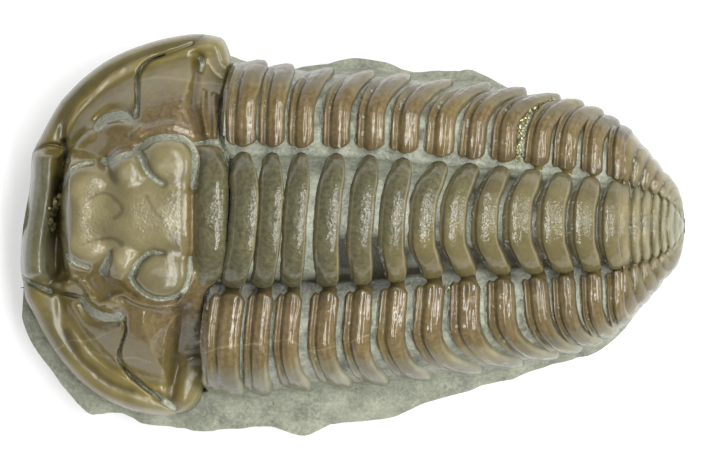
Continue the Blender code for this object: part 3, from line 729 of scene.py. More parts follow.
def coons_half(rows, across, margin_front, suture, rear):
    """Survey points of half the head shield: a patch filled in between its middle line and three edges."""
    s, u = rows[:, None], across[:, None]
    middle = np.stack([curve_through(MIDDLE_ROWS)(rows), np.full_like(rows, HEAD_MIDDLE)], axis=-1)
    side = walk(suture)(rows)
    first = walk(margin_front)(across)
    last = walk(rear)(across)
    c0, c1 = np.array([FRONT_COLUMN, HEAD_MIDDLE]), np.array([REAR_COLUMN, HEAD_MIDDLE])
    s0, s1 = walk(suture)(np.zeros(1)), walk(suture)(np.ones(1))
    pull = u**SIDE_PULL
    ruled = (1 - pull) * middle + pull * side + (1 - s) * first + s * last
    return ruled - ((1 - pull) * (1 - s) * c0 + pull * (1 - s) * s0 + (1 - pull) * s * c1 + pull * s * s1)


REAR_LIP = 0.14  # mm that the head's rear edge turns down
CHEEK_WALL = 0.5  # mm that the free cheeks' outer wall goes down
CHEEK_TOP = 0.9  # share of a cheek's grid on its upper side


def stretch(path, first, last):
    """The part of a path from one of its points to another."""
    return path[path.index(first) : path.index(last) + 1]


def head_masks(column, row, z):
    """Cover and accent masks of the head's upper surface, and its polish."""
    spread = np.stack([column * GRID, row * GRID, z], axis=-1)
    wander, cloud = noise(spread, 0.5, 11), noise(spread, 1.5, 14)
    streaks = noise(np.stack([column * GRID, row * GRID * 0.25, z * 0], axis=-1), 0.16, 13)
    jitter_c = column + 1.2 * wander
    jitter_r = row + 1.2 * noise(spread, 0.45, 12)
    away = near(HEAD_MARGIN, column, row)[0] * GRID
    across = np.abs(row - HEAD_MIDDLE)

    # Where each point lies: on the glabella, the occipital ring, the front rim or the cheeks between them.
    ahead = np.maximum(0, (66 - column) / 8)
    glabella = fall(0.9, 1.12, np.hypot((row - HEAD_MIDDLE) / 47, ahead))
    glabella = glabella * rise(60, 66, column) * fall(182, 190, column)
    for cx, cy, rx, ry, _, _ in LOBES:
        glabella = np.maximum(glabella, fall(0.9, 1.15, np.hypot((column - cx) / rx, (row - cy) / ry)))
    ring = rise(195, 200, column) * fall(62, 70, across)
    rim = fall(46, 56, column) * rise(150, 165, row) * fall(272, 290, row)
    inner = ridge(away, 4.0, 1.6) * (1 - glabella)
    near_ring = rise(140, 170, column) * fall(95, 150, across) * (1 - glabella) * (1 - ring)

    fill = line_mask(STONE_FILLS, jitter_c, jitter_r, 1.4)
    # Dark: painted shade along the furrows and grooves and on the rear wall of the left posterior border
    # furrow, dark arcs on the glabella, and darker patches of the cheeks, the lower lobe and the occipital
    # ring.
    dark = highest(
        0.62 * line_mask(FURROW_SHADE_LINES, jitter_c, jitter_r, 4.0),
        0.7 * line_mask(FURROW_SHADE_LINES[:1], jitter_c, jitter_r, 3.0),
        0.5 * line_mask(DARK_ARCS, column + 0.8 * wander, jitter_r, 1.6),
        *[strength * spot(column, row, *patch) for strength, *patch in DARK_PATCHES],
    )
    warm = highest(
        np.clip((0.75 * inner + 0.7 * near_ring) * (1 + 0.4 * cloud), 0, 1) * (1 - rim),
        0.75 * spot(column, row, 115, 138, 26, 14),
        0.45 * glabella * fall(36, 50, across) * rise(26, 42, across),
    )
    smoke = highest(
        np.clip(0.9 * ring + 0.85 * rim * (1 + 0.3 * streaks), 0, 1),
        0.55 * spot(column, row, 52, 315, 9, 32),
        0.5 * spot(column, row, 62, 340, 10, 16),
    )
    # Pale: a thin band at the margin, the front rim in a paler tone partly streaked with painted highlights
    # along its length, and the lower and upper rear margins.
    pale = highest(
        0.35 * ridge(away, 0, 0.35) * (1 - rim) + rim * (0.18 + 0.45 * np.clip(streaks - 0.1, 0, 1)),
        0.55 * rise(395, 414, row),
        0.4 * fall(36, 52, row) * rise(170, 215, column),
    )
    line = 0.6 * line_mask(CRACK_MARKS, jitter_c, jitter_r, 0.9)
    grain = highest(
        0.75 * glabella * spot(column, row, 120, 215, 70, 32),
        0.9 * ring * spot(row, row, 215, 215, 28, 28),
        0.8 * spot(column, row, 170, 116, 22, 16),
    )
    # Wet-looking inside, duller along the outer margin.
    polish = np.maximum(0.55 + 0.45 * rise(0.9, 2.2, away), rim) * (1 - 0.35 * glabella)
    return (fill, dark, glabella, pale), (warm, smoke, line, grain), polish


def head_points(column, row):
    """Frame points in mm of survey places on the head."""
    z = head_height(column, row)
    spread = np.stack([column * GRID, row * GRID, z], axis=-1)
    z = z + 0.018 * noise(spread, 0.7, 21) + 0.008 * noise(spread, 0.25, 22)
    return np.stack([frame_x(column), frame_y(row), z], axis=-1)


def add_shell_depth(piece):
    """Gives an open shell its thickness, inwards."""
    solid = piece.modifiers.new("Shell depth", "SOLIDIFY")
    solid.thickness = bpy.context.scene.fossil.shell_depth
    solid.offset = -1
    solid.use_even_offset = False


class FOSSIL_OT_head_shield(bpy.types.Operator):
    """Builds the middle of the head between the two facial sutures"""

    bl_idname = "fossil.head_shield"
    bl_label = "Head shield"

    def execute(self, context):
        mesh, u, v = grid_mesh("head_shield_fine", 236, 176)
        # The rows lie a little closer together at the front, where the rim turns down.
        s = (v + 1) / 2
        s = 0.5 * s + 0.5 * s**1.15
        across = np.abs(u)
        right = coons_half(s, across, stretch(MARGIN_R, MARGIN_R[0], SUTURE_R[0]), SUTURE_R, REAR_R)
        left = coons_half(s, across, stretch(MARGIN_L, MARGIN_L[0], SUTURE_L[0]), SUTURE_L, REAR_L)
        plan = np.where((u >= 0)[:, None], right, left)
        column, row = plan.T
        points = head_points(column, row)
        points[:, 2] -= REAR_LIP * rise(0.982, 1.0, s)
        shape_mesh(mesh, points, *head_masks(column, row, points[:, 2]))
        piece = finish_piece(mesh, "head_shield", shell(), close=False)
        add_shell_depth(piece)
        return {"FINISHED"}


class FOSSIL_OT_free_cheeks(bpy.types.Operator):
    """Builds the two free cheeks outside the facial sutures"""

    bl_idname = "fossil.free_cheeks"
    bl_label = "Free cheeks"

    def execute(self, context):
        for node, suture, margin in (
            ("right_cheek", SUTURE_R, stretch(MARGIN_R, SUTURE_R[0], SUTURE_R[-1])),
            ("left_cheek", SUTURE_L, stretch(MARGIN_L, SUTURE_L[0], SUTURE_L[-1])),
        ):
            mesh, u, v = grid_mesh(node + "_fine", 190, 96)
            s, w = (u + 1) / 2, (v + 1) / 2
            # What lies past the upper side is the outer wall, which goes straight down from the margin.
            wall = part_way(CHEEK_TOP, 1, w)
            share = 1 - (1 - part_way(0, CHEEK_TOP, w)) ** 1.25
            inner, outer = walk(suture)(s), walk(margin)(s)
            plan = inner + (outer - inner) * share[:, None]
            column, row = plan.T
            points = head_points(column, row)
            points[:, 2] -= CHEEK_WALL * wall * np.sin(np.pi * np.clip(s, 0, 1)) ** 0.5
            shape_mesh(mesh, points, *head_masks(column, row, points[:, 2]))
            piece = finish_piece(mesh, node, shell(), close=False)
            add_shell_depth(piece)
        return {"FINISHED"}


# How far in mm the ends of each ring lie behind its middle.
RING_BOW = (-0.30, -0.14, 0.03, 0.17, 0.18, 0.30, 0.58, 0.64, 0.66, 0.62, 0.46, 0.36, 0.26)


def segment_place(number, t):
    """x of a segment's middle and half its length, on each line t across the body, in mm."""
    ring, flank, tip, half_ring, half_rib = SEGMENTS[number]
    bow = RING_BOW[number]
    ends = ring + 0.5 * bow
    path = curve_through((
        (0, ring - 0.5 * bow), (0.10, ring - 0.42 * bow), (0.22, ring + 0.08 * bow), (0.33, ends),
        (0.42, 0.5 * (ends + flank)), (FLANK_T, flank), (1, tip),
    ))
    # The rings bow about a line a little to the left of the axis.
    across = np.abs(t + 0.02)
    across = np.where(across > 0.3, np.abs(t), across + (np.abs(t) - across) * across / 0.3)
    half = half_ring + (half_rib - half_ring) * rise(0.39, 0.46, across)
    # Each ring is narrower towards its ends, and each left rib has a waist before its tip.
    narrowing = np.where(t > 0, 0.30 if number < 7 else 0.16, 0.08) * rise(0.16, 0.36, across)
    narrowing = narrowing * fall(0.40, 0.455, across)
    outer = rise(0.62, 0.76, across)
    waist = np.where(t > 0, 0.0, 0.16) * outer * fall(0.78, 0.88, across)
    half = half * (1 - narrowing) * (1 + 0.10 * outer - waist)
    round_tip = np.sqrt(np.clip(1 - (np.clip(across - 0.87, 0, 1) / 0.13) ** 2.4, 0, 1))
    return path(across), half * (0.02 + 0.98 * round_tip)


# Height in mm along the body of a ring, of a rib's grooved part and of its tip, from front (-1) to rear (1).
RING_PROFILE = curve_through((
    (-1, -0.30), (-0.93, -0.16), (-0.75, -0.02), (-0.4, 0.12), (0.0, 0.20), (0.3, 0.205), (0.55, 0.182),
    (0.8, 0.13), (0.93, 0.0), (1, -0.30),
))
RIB_PROFILE = curve_through((
    (-1, -0.30), (-0.93, -0.18), (-0.82, -0.12), (-0.74, -0.04), (-0.63, 0.08), (-0.52, 0.06), (-0.42, -0.02),
    (-0.34, -0.07), (-0.26, -0.03), (-0.10, 0.11), (0.08, 0.18), (0.28, 0.207), (0.48, 0.192), (0.76, 0.135),
    (0.92, 0.0), (1, -0.30),
))
TIP_PROFILE = curve_through((
    (-1, -0.30), (-0.9, -0.17), (-0.5, -0.04), (0, 0.08), (0.4, 0.16), (0.75, 0.17), (0.92, 0.05), (1, -0.28),
))


def rear_share(number, t):
    """0 on the front rings and 1 on the rear ones, which are browner and show the sleeve between rings."""
    return rise(4.0, 8.0, number + 2.2 * np.clip(-t / 0.3, -1, 1))


def segment_height(number, t, v, ripple_height):
    """How far a segment stands out of the arch, in mm."""
    across = np.abs(t)
    on_ring = fall(0.375, 0.42, across)
    to_tip = rise(0.76, 0.93, across)
    rib = RIB_PROFILE(v) * (1 - to_tip) + TIP_PROFILE(v) * to_tip
    # The front of each rear ring is a low sleeve that slides under the ring ahead.
    sleeve = rear_share(number, t) * rise(-0.38, -0.60, v)
    height = (RING_PROFILE(v) - 0.13 * sleeve) * on_ring + rib * (1 - on_ring)
    # The axial furrow: deep and full of stone on the right, shallow on the left.
    round_end = 0.03 * np.abs(v) ** 3
    right = rise(0.352, 0.372, across + round_end) * fall(0.412, 0.432, across - round_end)
    left = rise(0.380, 0.396, across + round_end) * fall(0.418, 0.436, across - round_end)
    height = height - np.where(t > 0, (0.44 - 0.16 * rise(7.5, 9.5, number)) * right, 0.22 * left)
    # Fine ripples that run along the ribs.
    along = np.stack([np.sign(t) * across * 2.5, v * 0.62 + number * 3.7, np.zeros_like(t)], axis=-1)
    ripple = ripple_height * (noise(along, 0.19, 44) + 0.35 * np.cos(v * 17 + number))
    ripple = ripple * rise(0.42, 0.46, across) * (1 - 0.75 * to_tip)
    return height + ripple - 0.10 * rise(0.93, 1.0, across)


def segment_masks(number, t, v, points):
    """Cover and accent masks of one thoracic segment, and its polish."""
    across = np.abs(t)
    right = t > 0
    wander, fine, cloud = noise(points, 0.5, 31), noise(points, 0.22, 32), noise(points, 1.6, 33)
    column, row = survey(points[:, 0], points[:, 1])

    # Where each point lies: on the ring, on the sleeve before it, on a rib's grooved part or on its facet.
    on_ring = fall(0.385, 0.41, across)
    on_rib = rise(0.42, 0.46, across) * fall(0.72, 0.86, across)
    facet = rise(0.76, 0.84, across) * fall(0.94, 0.98, across)
    edge = rise(0.80, 1.0, np.abs(v))
    brim = np.maximum(rise(0.55, 0.9, np.abs(v)), rise(0.90, 0.97, across))
    rear = np.clip(rear_share(number, t) + 0.25 * wander, 0, 1)
    rear_ring = on_ring * rear
    sleeve = rear_ring * rise(-0.42, -0.56, v + 0.04 * wander)

    # Stone: a scalloped band in the axial furrow on the right and patches in it on the left, then what lies
    # in the pockets and on the sleeves of the rear rings, in the rib furrows, along the seams and on facets.
    band = fall(0.024, 0.040, np.abs(across - 0.392 + 0.006 * wander) + 0.026 * (1 - edge))
    right_fill = band * (0.95 if number > 0 else 0.7) * (1 - 0.4 * rise(7, 10, number))
    left_fill = band * np.clip(0.7 * edge + 0.4 * wander, 0, 1) * (0.15 if number < 4 else 0.75)
    pocket = rise(0.19, 0.26, t) * fall(0.37, 0.40, t) + 0.6 * rise(0.27, 0.32, -t) * fall(0.38, 0.41, -t)
    furrow = ridge(v, -0.36, 0.16) * rise(0.45, 0.49, across) * fall(0.74, 0.86, across)
    seam = rise(-0.66, -0.80, v + 0.07 * wander - 0.05 * fine) * (0.85 + 0.25 * wander)
    seam = seam * (0.35 if number == 0 else 1)
    fill = highest(
        np.where(right, right_fill, left_fill),
        0.9 * sleeve * pocket,
        sleeve * (0.28 + 0.3 * wander + 0.25 * fine),
        furrow * np.where(right, 0.40, 0.34) * (1 + 0.6 * wander + 0.4 * fine),
        seam * rise(0.41, 0.45, across) * (1 - 0.6 * rise(0.72, 0.84, across)),
        0.65 * rise(0.92, 0.99, v) * rise(0.42, 0.46, across),
        0.60 * rise(0.94, 1.0, np.abs(v)) * (1 - 0.75 * rear_ring),
        facet * ridge(v - 0.5 * (across - 0.76), -0.72, 0.10) * (0.5 + 0.3 * wander),
    )

    # Dark, mostly painted shade: in the axial furrow, in the ribs' furrows, at the ribs' inner ends, on the
    # ribs' rear slopes and the rings' edges where they fall into the gaps, and on the outer facets, which
    # turn away and down; then darker tones of the ribs' front bands, the sleeves, the rings and the rear
    # ribs.
    facet_dark = np.where(right, 0.46, 0.44 - 0.22 * brim) + 0.08 * rise(5, 10, number)
    dark = highest(
        ridge(across, 0.405, 0.03) * np.where(right, 0.12, 0.95) * (1 - 0.5 * edge),
        0.55 * ridge(across, 0.352, 0.02) * right,
        0.5 * ridge(v, -0.2, 0.07) * rise(0.5, 0.6, across) * fall(0.7, 0.8, across),
        np.where(right, 0.20, 0.28) * rise(-0.40, -0.50, v) * on_rib,
        0.34 * rise(0.66, 0.95, v) * on_rib,
        (0.35 + 0.30 * rear) * rise(0.72, 0.98, np.abs(v)) * on_ring,
        0.45 * sleeve,
        on_ring * (0.12 + 0.16 * rise(5, 10, number)),
        facet_dark * rise(0.66, 0.80, across) * (1 + 0.4 * cloud),
        0.42 * ridge(across, 0.45, 0.03) * (1 - on_ring),
    )
    rear_ribs = np.where(right, 0.15, 0.24) * rise(5, 9, number) * on_rib
    dark = np.clip(dark + 0.10 * cloud + rear_ribs, 0, 1)

    olive = rear_ring * (0.55 - 0.3 * np.clip(-t / 0.3, -1, 1))
    smoke = on_ring * (1 - 0.72 * rear)
    inner_flank = rise(0.41, 0.45, across) * fall(0.66, 0.82, across)
    warm = highest(
        inner_flank * (0.9 - 0.15 * rise(6, 12, number)) * (1 + 0.2 * cloud),
        np.where(right, 0.50, 0.0) * rise(0.6, 0.7, across) * (1 + 0.5 * wander),
        0.65 * rear_ring * rise(0.45, 0.85, np.abs(v - 0.15)),
        0.9 * sleeve,
        0.6 * on_ring * rise(0.27, 0.34, t),
    )
    left_tip = (0.50 + 0.35 * brim) * rise(0.68, 0.85, across - 0.05 * wander)
    pale = highest(
        np.where(right, 0.10 * rise(0.80, 0.98, across), left_tip),
        np.where(right, 0.25, 0.55) * rise(0.74, 0.90, v) * rise(0.68, 0.80, across),
        0.22 * rise(0.7, 0.85, across) * (1 + wander),
    )
    crest = on_ring * fall(0.33, 0.37, across)
    # Pale lines: the healed cracks, and painted highlights near the rear and front edges of each ring's
    # crest.
    line = highest(
        0.6 * line_mask(CRACK_MARKS, column + 0.8 * wander, row + 0.8 * fine, 0.9),
        0.40 * crest * ridge(v, 0.84, 0.05),
        0.22 * crest * ridge(v, -0.62, 0.05),
    )
    grain = highest(
        0.9 * on_ring * ridge(t, 0.03, 0.18) * rise(-0.6, 0.1, v),
        0.3 * rise(0.52, 0.6, t) * fall(0.75, 0.85, t),
    )
    polish = 0.55 + 0.45 * fall(0.74, 0.90, across)
    return (fill, dark, olive, pale), (warm, smoke, line, grain), polish


SEGMENT_TOP = 0.8  # share of a segment's grid on its upper side
SEGMENT_UNDERSIDE = -0.34  # mm from the arch


class FOSSIL_OT_body_segments(bpy.types.Operator):
    """Builds the thirteen thoracic segments, each an axial ring with a grooved rib to each side"""

    bl_idname = "fossil.body_segments"
    bl_label = "Body segments"

    def execute(self, context):
        for number in range(len(SEGMENTS)):
            node = f"body_segment_{number + 1:02d}"
            mesh, u, w = grid_mesh(node + "_fine", 300, 40)
            # The grid runs over the top from front to rear and back underneath.
            turn = (w + 1) / 2
            top = turn <= SEGMENT_TOP
            v = 2 * np.where(top, part_way(0, SEGMENT_TOP, turn), part_way(1, SEGMENT_TOP, turn)) - 1
            middle, half = segment_place(number, u)
            ragged = np.stack([u * 12, np.full_like(u, number * 3.1), np.sign(v)], axis=-1)
            x = middle + half * v + 0.035 * noise(ragged, 0.9, 41) * np.abs(v) ** 3
            if number == 0:
                # The first rib reaches forward to the head's rear edge, further on the left.
                x = x - np.where(u < 0, 0.34 * rise(0.37, 0.42, -u), 0.06 * rise(0.40, 0.46, u)) * (1 - v) / 2
            height = segment_height(number, u, v, context.scene.fossil.ripple_height / MM)
            out = np.where(top, height, SEGMENT_UNDERSIDE)
            points = raised(u, x, out)
            grainy = 0.016 * noise(points, 0.45, 42) + 0.008 * noise(points, 0.18, 43)
            points = raised(u, x, out + np.where(top, grainy, 0))
            close_ring(points, u, w)
            shape_mesh(mesh, points, *segment_masks(number, u, v, points))
            finish_piece(mesh, node, shell())
        return {"FINISHED"}


# The number of each ring furrow on the tail's axis, against its x.
TAIL_RINGS = curve_through((
    (11.9, 0), (12.32, 0.5), (12.72, 1), (13.2, 2), (13.68, 3), (14.1, 4), (14.45, 5), (14.75, 6), (15.0, 7),
    (15.25, 8),
))


def tail_height(t, x):
    """Relief of the tail in mm, with rings on its axis and swept ribs on its flanks, and its furrow mask."""
    across = np.abs(t)
    on_axis = fall(0.385, 0.43, across)
    b = part_way(FURROW_T, 1, across)
    sway = noise(np.stack([t * 3, x * 0.5, np.zeros_like(t)], axis=-1), 0.35, 51)
    x = x + 0.035 * sway
    rings, ribs = TAIL_RINGS(x + 0.04 * np.cos(across * 7)), TAIL_RINGS(x - 0.75 * b + 0.12)
    phase = rings * on_axis + ribs * (1 - on_axis)
    turn = phase - np.floor(phase)
    # Each ring and rib rises to the rear and drops into the next furrow.
    furrow = ridge(np.minimum(turn, 1 - turn), 0, 0.13)
    fade = 1 - 0.5 * rise(14.2, 15.0, x)
    swell = np.sin(np.pi * turn) ** 0.8 * (0.75 + 0.25 * turn)
    axial = ridge(across, 0.41, 0.028) * fall(14.3, 14.9, x)
    bold = (0.24 + 0.05 * sway) * on_axis + 0.16 * (1 - on_axis)
    return bold * swell * fade - 0.09 - 0.06 * axial, furrow * fade


def tail_masks(t, x, share, groove, points):
    """Cover and accent masks of the tail, and its polish."""
    across = np.abs(t)
    on_axis = fall(0.385, 0.42, across)
    wander = noise(points, 0.5, 54)
    fill = highest(
        0.35 * groove * (1 + 0.9 * wander) + 0.5 * groove * ridge(t, 0.36, 0.06),
        (0.75 + 0.3 * wander) * fall(0.02, 0.05, share),
    )
    # Dark: painted shade in the grooves between the rings and ribs and along the axial furrow, a darker left
    # flank, and a darker tone all over, mottled except near the tip.
    dark = highest(
        0.40 * ridge(across, 0.41, 0.025) * fall(14.0, 14.8, x) + groove * (0.50 - 0.15 * on_axis),
        0.30 * rise(0.42, 0.55, -t) * fall(0.85, 1, across),
    )
    dark = dark + 0.14 + 0.22 * np.clip(wander, -0.6, 1) * fall(14.4, 15.0, x)
    warm = 0.60 * (1 - 0.4 * rise(0.65, 0.85, across)) * np.maximum(1 - on_axis, groove)
    pale = 0.20 + 0.40 * rise(13.9, 15.0, x) + 0.10 * rise(0.75, 1.0, across)
    grain = 1.3 * on_axis * ridge(t, 0.04, 0.22) * fall(14.0, 14.8, x)
    nothing = np.zeros_like(t)
    cover = (fill, dark, 0.75 * on_axis, pale * rise(12.4, 13.4, x))
    return cover, (warm, nothing, nothing, grain), 0.80 + 0.20 * on_axis


TAIL_TOP = 0.9  # share of the tail's grid on its upper side
TAIL_UNDERSIDE = -0.32  # mm from the arch


class FOSSIL_OT_tail_shield(bpy.types.Operator):
    """Builds the tail plate with its bunched rings and ribs"""

    bl_idname = "fossil.tail_shield"
    bl_label = "Tail shield"

    def execute(self, context):
        mesh, u, w = grid_mesh("tail_shield_fine", 300, 150)
        turn = (w + 1) / 2
        top = turn <= TAIL_TOP
        share = np.where(top, part_way(0, TAIL_TOP, turn), part_way(1, TAIL_TOP, turn))
        middle, half = segment_place(len(SEGMENTS) - 1, u)
        across = np.abs(u)
        # The tail starts just under the last segment's rear edge.
        front = np.maximum(middle + half - 0.09, 12.15 + 0.05 * across) - 0.20 * rise(0.8, 1.0, across)
        x = front + (TAIL_TIP_X - 0.004 - front) * (1 - np.cos(share * math.pi / 2 * 0.999) ** 0.9)
        height, groove = tail_height(u, x)
        height = height - 0.08 * fall(0, 0.05, share)
        points = raised(u, x, np.where(top, height, TAIL_UNDERSIDE))
        grainy = 0.014 * noise(points, 0.4, 52) + 0.007 * noise(points, 0.17, 53)
        points = raised(u, x, np.where(top, height + grainy, TAIL_UNDERSIDE))
        # The tip is blunter than the arch's own end.
        blunt = rise(14.3, 15.2, x)
        points[:, 0] += 0.05 * blunt
        points[:, 1] += 0.25 * blunt * (points[:, 1] - 0.40)
        masks = tail_masks(u, x, share, groove, points)
        points[w > 0.999] = points[w < -0.999]
        shape_mesh(mesh, points, *masks)
        finish_piece(mesh, "tail_shield", shell())
        return {"FINISHED"}


# The column of the head's rear edge on each row.
HEAD_REAR = curve_through((
    (33, 205), (38, 222), (46, 227), (57, 230), (68, 229), (84, 225), (102, 221), (122, 219.5), (141, 221),
    (153, 226), (165, 230), (195, 230.5), (217, 230), (240, 229), (258, 229), (272, 226), (282, 217),
    (290, 207), (300, 203.5), (320, 204), (340, 206), (362, 207), (385, 205), (395, 202), (405, 197),
    (415, 178),
))


# The stone's grid runs lengthwise between these two x.
STONE_ENDS = (-14.95, 14.6)
# Across, each half starts on the axis, and reaches the animal's edge, the stone's edge and the floor here.
ANIMAL_EDGE, STONE_EDGE, FLOOR_EDGE = 0.66, 0.84, 0.92
# Half the width of the stone under the head, against x.
HEAD_BASE = ((-15.0, 2.9), (-14.2, 4.6), (-13.0, 6.2), (-11.4, 7.4), (-9.6, 8.25), (-7.9, 8.6), (-6, 8.6))


def stone_points(side, across, t, x):
    """Frame points in mm of the stone, and how far each is under the head and near its rear edge."""
    on_top = across <= ANIMAL_EDGE
    beside_head = fall(-8.2, -4.6, x)
    tail_x = np.where(x > 12.35, 12.35 + (x - 12.35) / 0.86, x)

    # Under the animal: just below the arch, and under the head a plain low dome.
    sunk = 0.10 * rise(4.0, 6.0, x) * fall(0.30, 0.37, np.abs(t))
    body = raised(t, tail_x, -0.13 - sunk)
    column, row = survey(body[:, 0], body[:, 1])
    behind = column - HEAD_REAR(row)
    near_head = ridge(behind, 0, 4)
    body[:, 2] += 0.12 * near_head * fall(0.75, 0.95, np.abs(t))
    on_head = fall(-6.5, -2.5, behind)
    head_half = 0.985 * np.interp(x, *zip(*HEAD_BASE))
    head_z = 2.45 + 1.5 * rise(0.1, 0.6, 1 - np.abs(t)) * rise(-14.2, -12.0, x)
    inner_y = (body[:, 1] - axis_line(tail_x)) * (1 - on_head) + t * head_half * on_head
    under_head = np.where(behind < 3, head_height(column, row) - 0.20 - 0.05 * np.clip(-behind, 0, 6), 20)
    inner_z = np.minimum(body[:, 2], under_head) * (1 - on_head) + head_z * on_head

    # Beyond the animal's edge: shelf, broken side and foot.
    outline = np.where(side > 0, stone_right(x), stone_left(x))
    shelf_start = np.where(side > 0, right_edge(tail_x), left_edge(tail_x))
    shelf_start = shelf_start * (1 - beside_head) + head_half * beside_head
    edge_y = np.minimum(shelf_start, outline - 0.06)
    top_z = edge_z(tail_x) * (1 - beside_head) + 2.45 * beside_head
    shelf = part_way(ANIMAL_EDGE, STONE_EDGE, across)
    wall = part_way(STONE_EDGE, FLOOR_EDGE, across)
    foot = part_way(FLOOR_EDGE, 1, across)
    shelf_y = edge_y + (outline - edge_y) * shelf
    shelf_z = top_z - 0.18 * rise(0, 0.15, shelf) - np.where(side > 0, 0.55, 0.45) * shelf
    outer_y = shelf_y * (1 - 0.06 * wall - 0.14 * wall**3) * (1 - foot)
    y = np.where(on_top, np.minimum(np.abs(inner_y), outline - 0.06), outer_y)
    z = np.where(on_top, inner_z, shelf_z * fall(0, 1, wall))
    points = np.stack([*place(x, side * y), z], axis=-1)

    # The broken stone is rougher than what fills the gaps between the plates.
    rough = rise(ANIMAL_EDGE, 0.72, across) * fall(0.0, 0.6, foot)
    rock = 0.16 * noise(points, 1.3, 61) + 0.08 * noise(points, 0.5, 62) + 0.03 * noise(points, 0.2, 63)
    gap_rock = 0.05 * noise(points, 0.45, 64) + 0.022 * noise(points, 0.18, 65)
    points[:, 2] += np.where(on_top, gap_rock, rock * rough * fall(0.5, 1, wall))
    points[:, 1] += side * np.minimum(rock, 0.05) * rough * 0.6
    points[:, 2] = np.where(foot > 0, 0, np.maximum(points[:, 2], 0))
    return points, on_head, near_head


class FOSSIL_OT_matrix(bpy.types.Operator):
    """Builds the mudstone: the shelf round the animal, the fill between its plates and the flat foot"""

    bl_idname = "fossil.matrix"
    bl_label = "Mudstone"

    def execute(self, context):
        mesh, u, w = grid_mesh("matrix_fine", 330, 270)
        x = STONE_ENDS[0] + (STONE_ENDS[1] - STONE_ENDS[0]) * (w + 1) / 2
        side, across = np.sign(u), np.abs(u)
        t = side * part_way(0, ANIMAL_EDGE, across)
        points, on_head, near_head = stone_points(side, across, t, x)

        # Dark: painted shade in the gaps between the rings on the left, on the right and at the rear, in the
        # left furrow and in streaks between the ribs; on the shelf, darker mottling of the stone.
        blotch, streaks = noise(points, 0.8, 66), noise(points, 0.3, 67)
        left_gaps = rise(0.0, 0.14, -t) * fall(0.36, 0.42, -t) * (1 - on_head) * rise(-1.8, -0.6, x)
        left_furrow = ridge(t, -0.405, 0.075) * (1 - on_head) * (1 - 0.25 * rise(-1, 3, x))
        rear_gaps = 0.8 * rise(2.6, 5.0, x - 2.5 * t) * fall(0.31, 0.36, np.abs(t))
        gaps = highest(left_gaps, left_furrow, rear_gaps) * (0.95 + 0.6 * blotch)
        between_ribs = rise(0.44, 0.50, np.abs(t)) * fall(0.8, 0.95, np.abs(t)) * (1 - near_head)
        dark = highest(
            np.clip(gaps, 0, 1) + 0.35 * np.clip(blotch - 0.2, 0, 1),
            (0.16 + 0.35 * blotch) * rise(-0.1, 0.05, t) * fall(0.30, 0.35, t),
            between_ribs * np.clip(0.22 + 0.5 * streaks + 0.3 * blotch, 0, 0.8),
        )
        dark = np.where(across > ANIMAL_EDGE, 0.22 * np.clip(blotch, 0, 1), dark)
        lacquer = np.where(across > ANIMAL_EDGE, 0.0, 0.8)
        nothing = np.zeros_like(u)
        shape_mesh(mesh, points, (nothing, dark, nothing, lacquer), (nothing, nothing, nothing, nothing))
        finish_piece(mesh, "matrix", material_once("Grey-green mudstone", mudstone_material))
        return {"FINISHED"}


# Where the pyrite lies between two segments: (number of the front one, lines across the body, grains).
PYRITE_SEAMS = ((8, 0.43, 0.90, 300), (6, -0.47, -0.43, 16))
# Where it lies behind the front rim of the head: (path on the survey grid, half width in squares, grains).
PYRITE_POCKET = (((57, 200), (54, 209), (51, 220), (53, 229)), 1.9, 46)


def pyrite_places(random, largest):
    """Frame points and sizes in mm of all the pyrite grains."""
    places = []
    for number, start, end, count in PYRITE_SEAMS:
        t = random.uniform(start, end, count)
        front_line, front_half = segment_place(number, t)
        rear_line, rear_half = segment_place(number + 1, t)
        x = 0.5 * (front_line + front_half + rear_line - rear_half) + random.normal(0, 0.12, count)
        points = raised(t, x, random.uniform(-0.10, 0.06, count))
        places.append(np.column_stack([points, random.uniform(0.1, 0.31, count) * largest]))
    path, width, count = PYRITE_POCKET
    column, row = (walk(path)(random.random(count)) + random.normal(0, width, (count, 2))).T
    height = head_height(column, row) + 0.10
    sizes = random.uniform(0.38, 1, count) * largest
    places.append(np.column_stack([frame_x(column), frame_y(row), height, sizes]))
    return np.concatenate(places)


class FOSSIL_OT_pyrite(bpy.types.Operator):
    """Scatters small pyrite crystals along the seams where the stone holds them"""

    bl_idname = "fossil.pyrite"
    bl_label = "Pyrite grains"

    def execute(self, context):
        settings = context.scene.fossil
        random = np.random.default_rng(settings.pyrite_seed)
        bm = bmesh.new()
        for x, y, z, size in pyrite_places(random, settings.crystal_size / MM):
            made = bmesh.ops.create_cube(bm, size=size * MM)["verts"]
            turn = Euler(random.uniform(0, math.pi, 3)).to_matrix().to_4x4()
            bmesh.ops.transform(bm, matrix=Matrix.Translation((x * MM, y * MM, z * MM)) @ turn, verts=made)
        mesh = new_mesh("pyrite_grains", bm)
        mesh.materials.append(material_once("Pyrite crystals", pyrite_material))
        piece = new_object("pyrite_grains", mesh)
        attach(piece, "root")
        return {"FINISHED"}


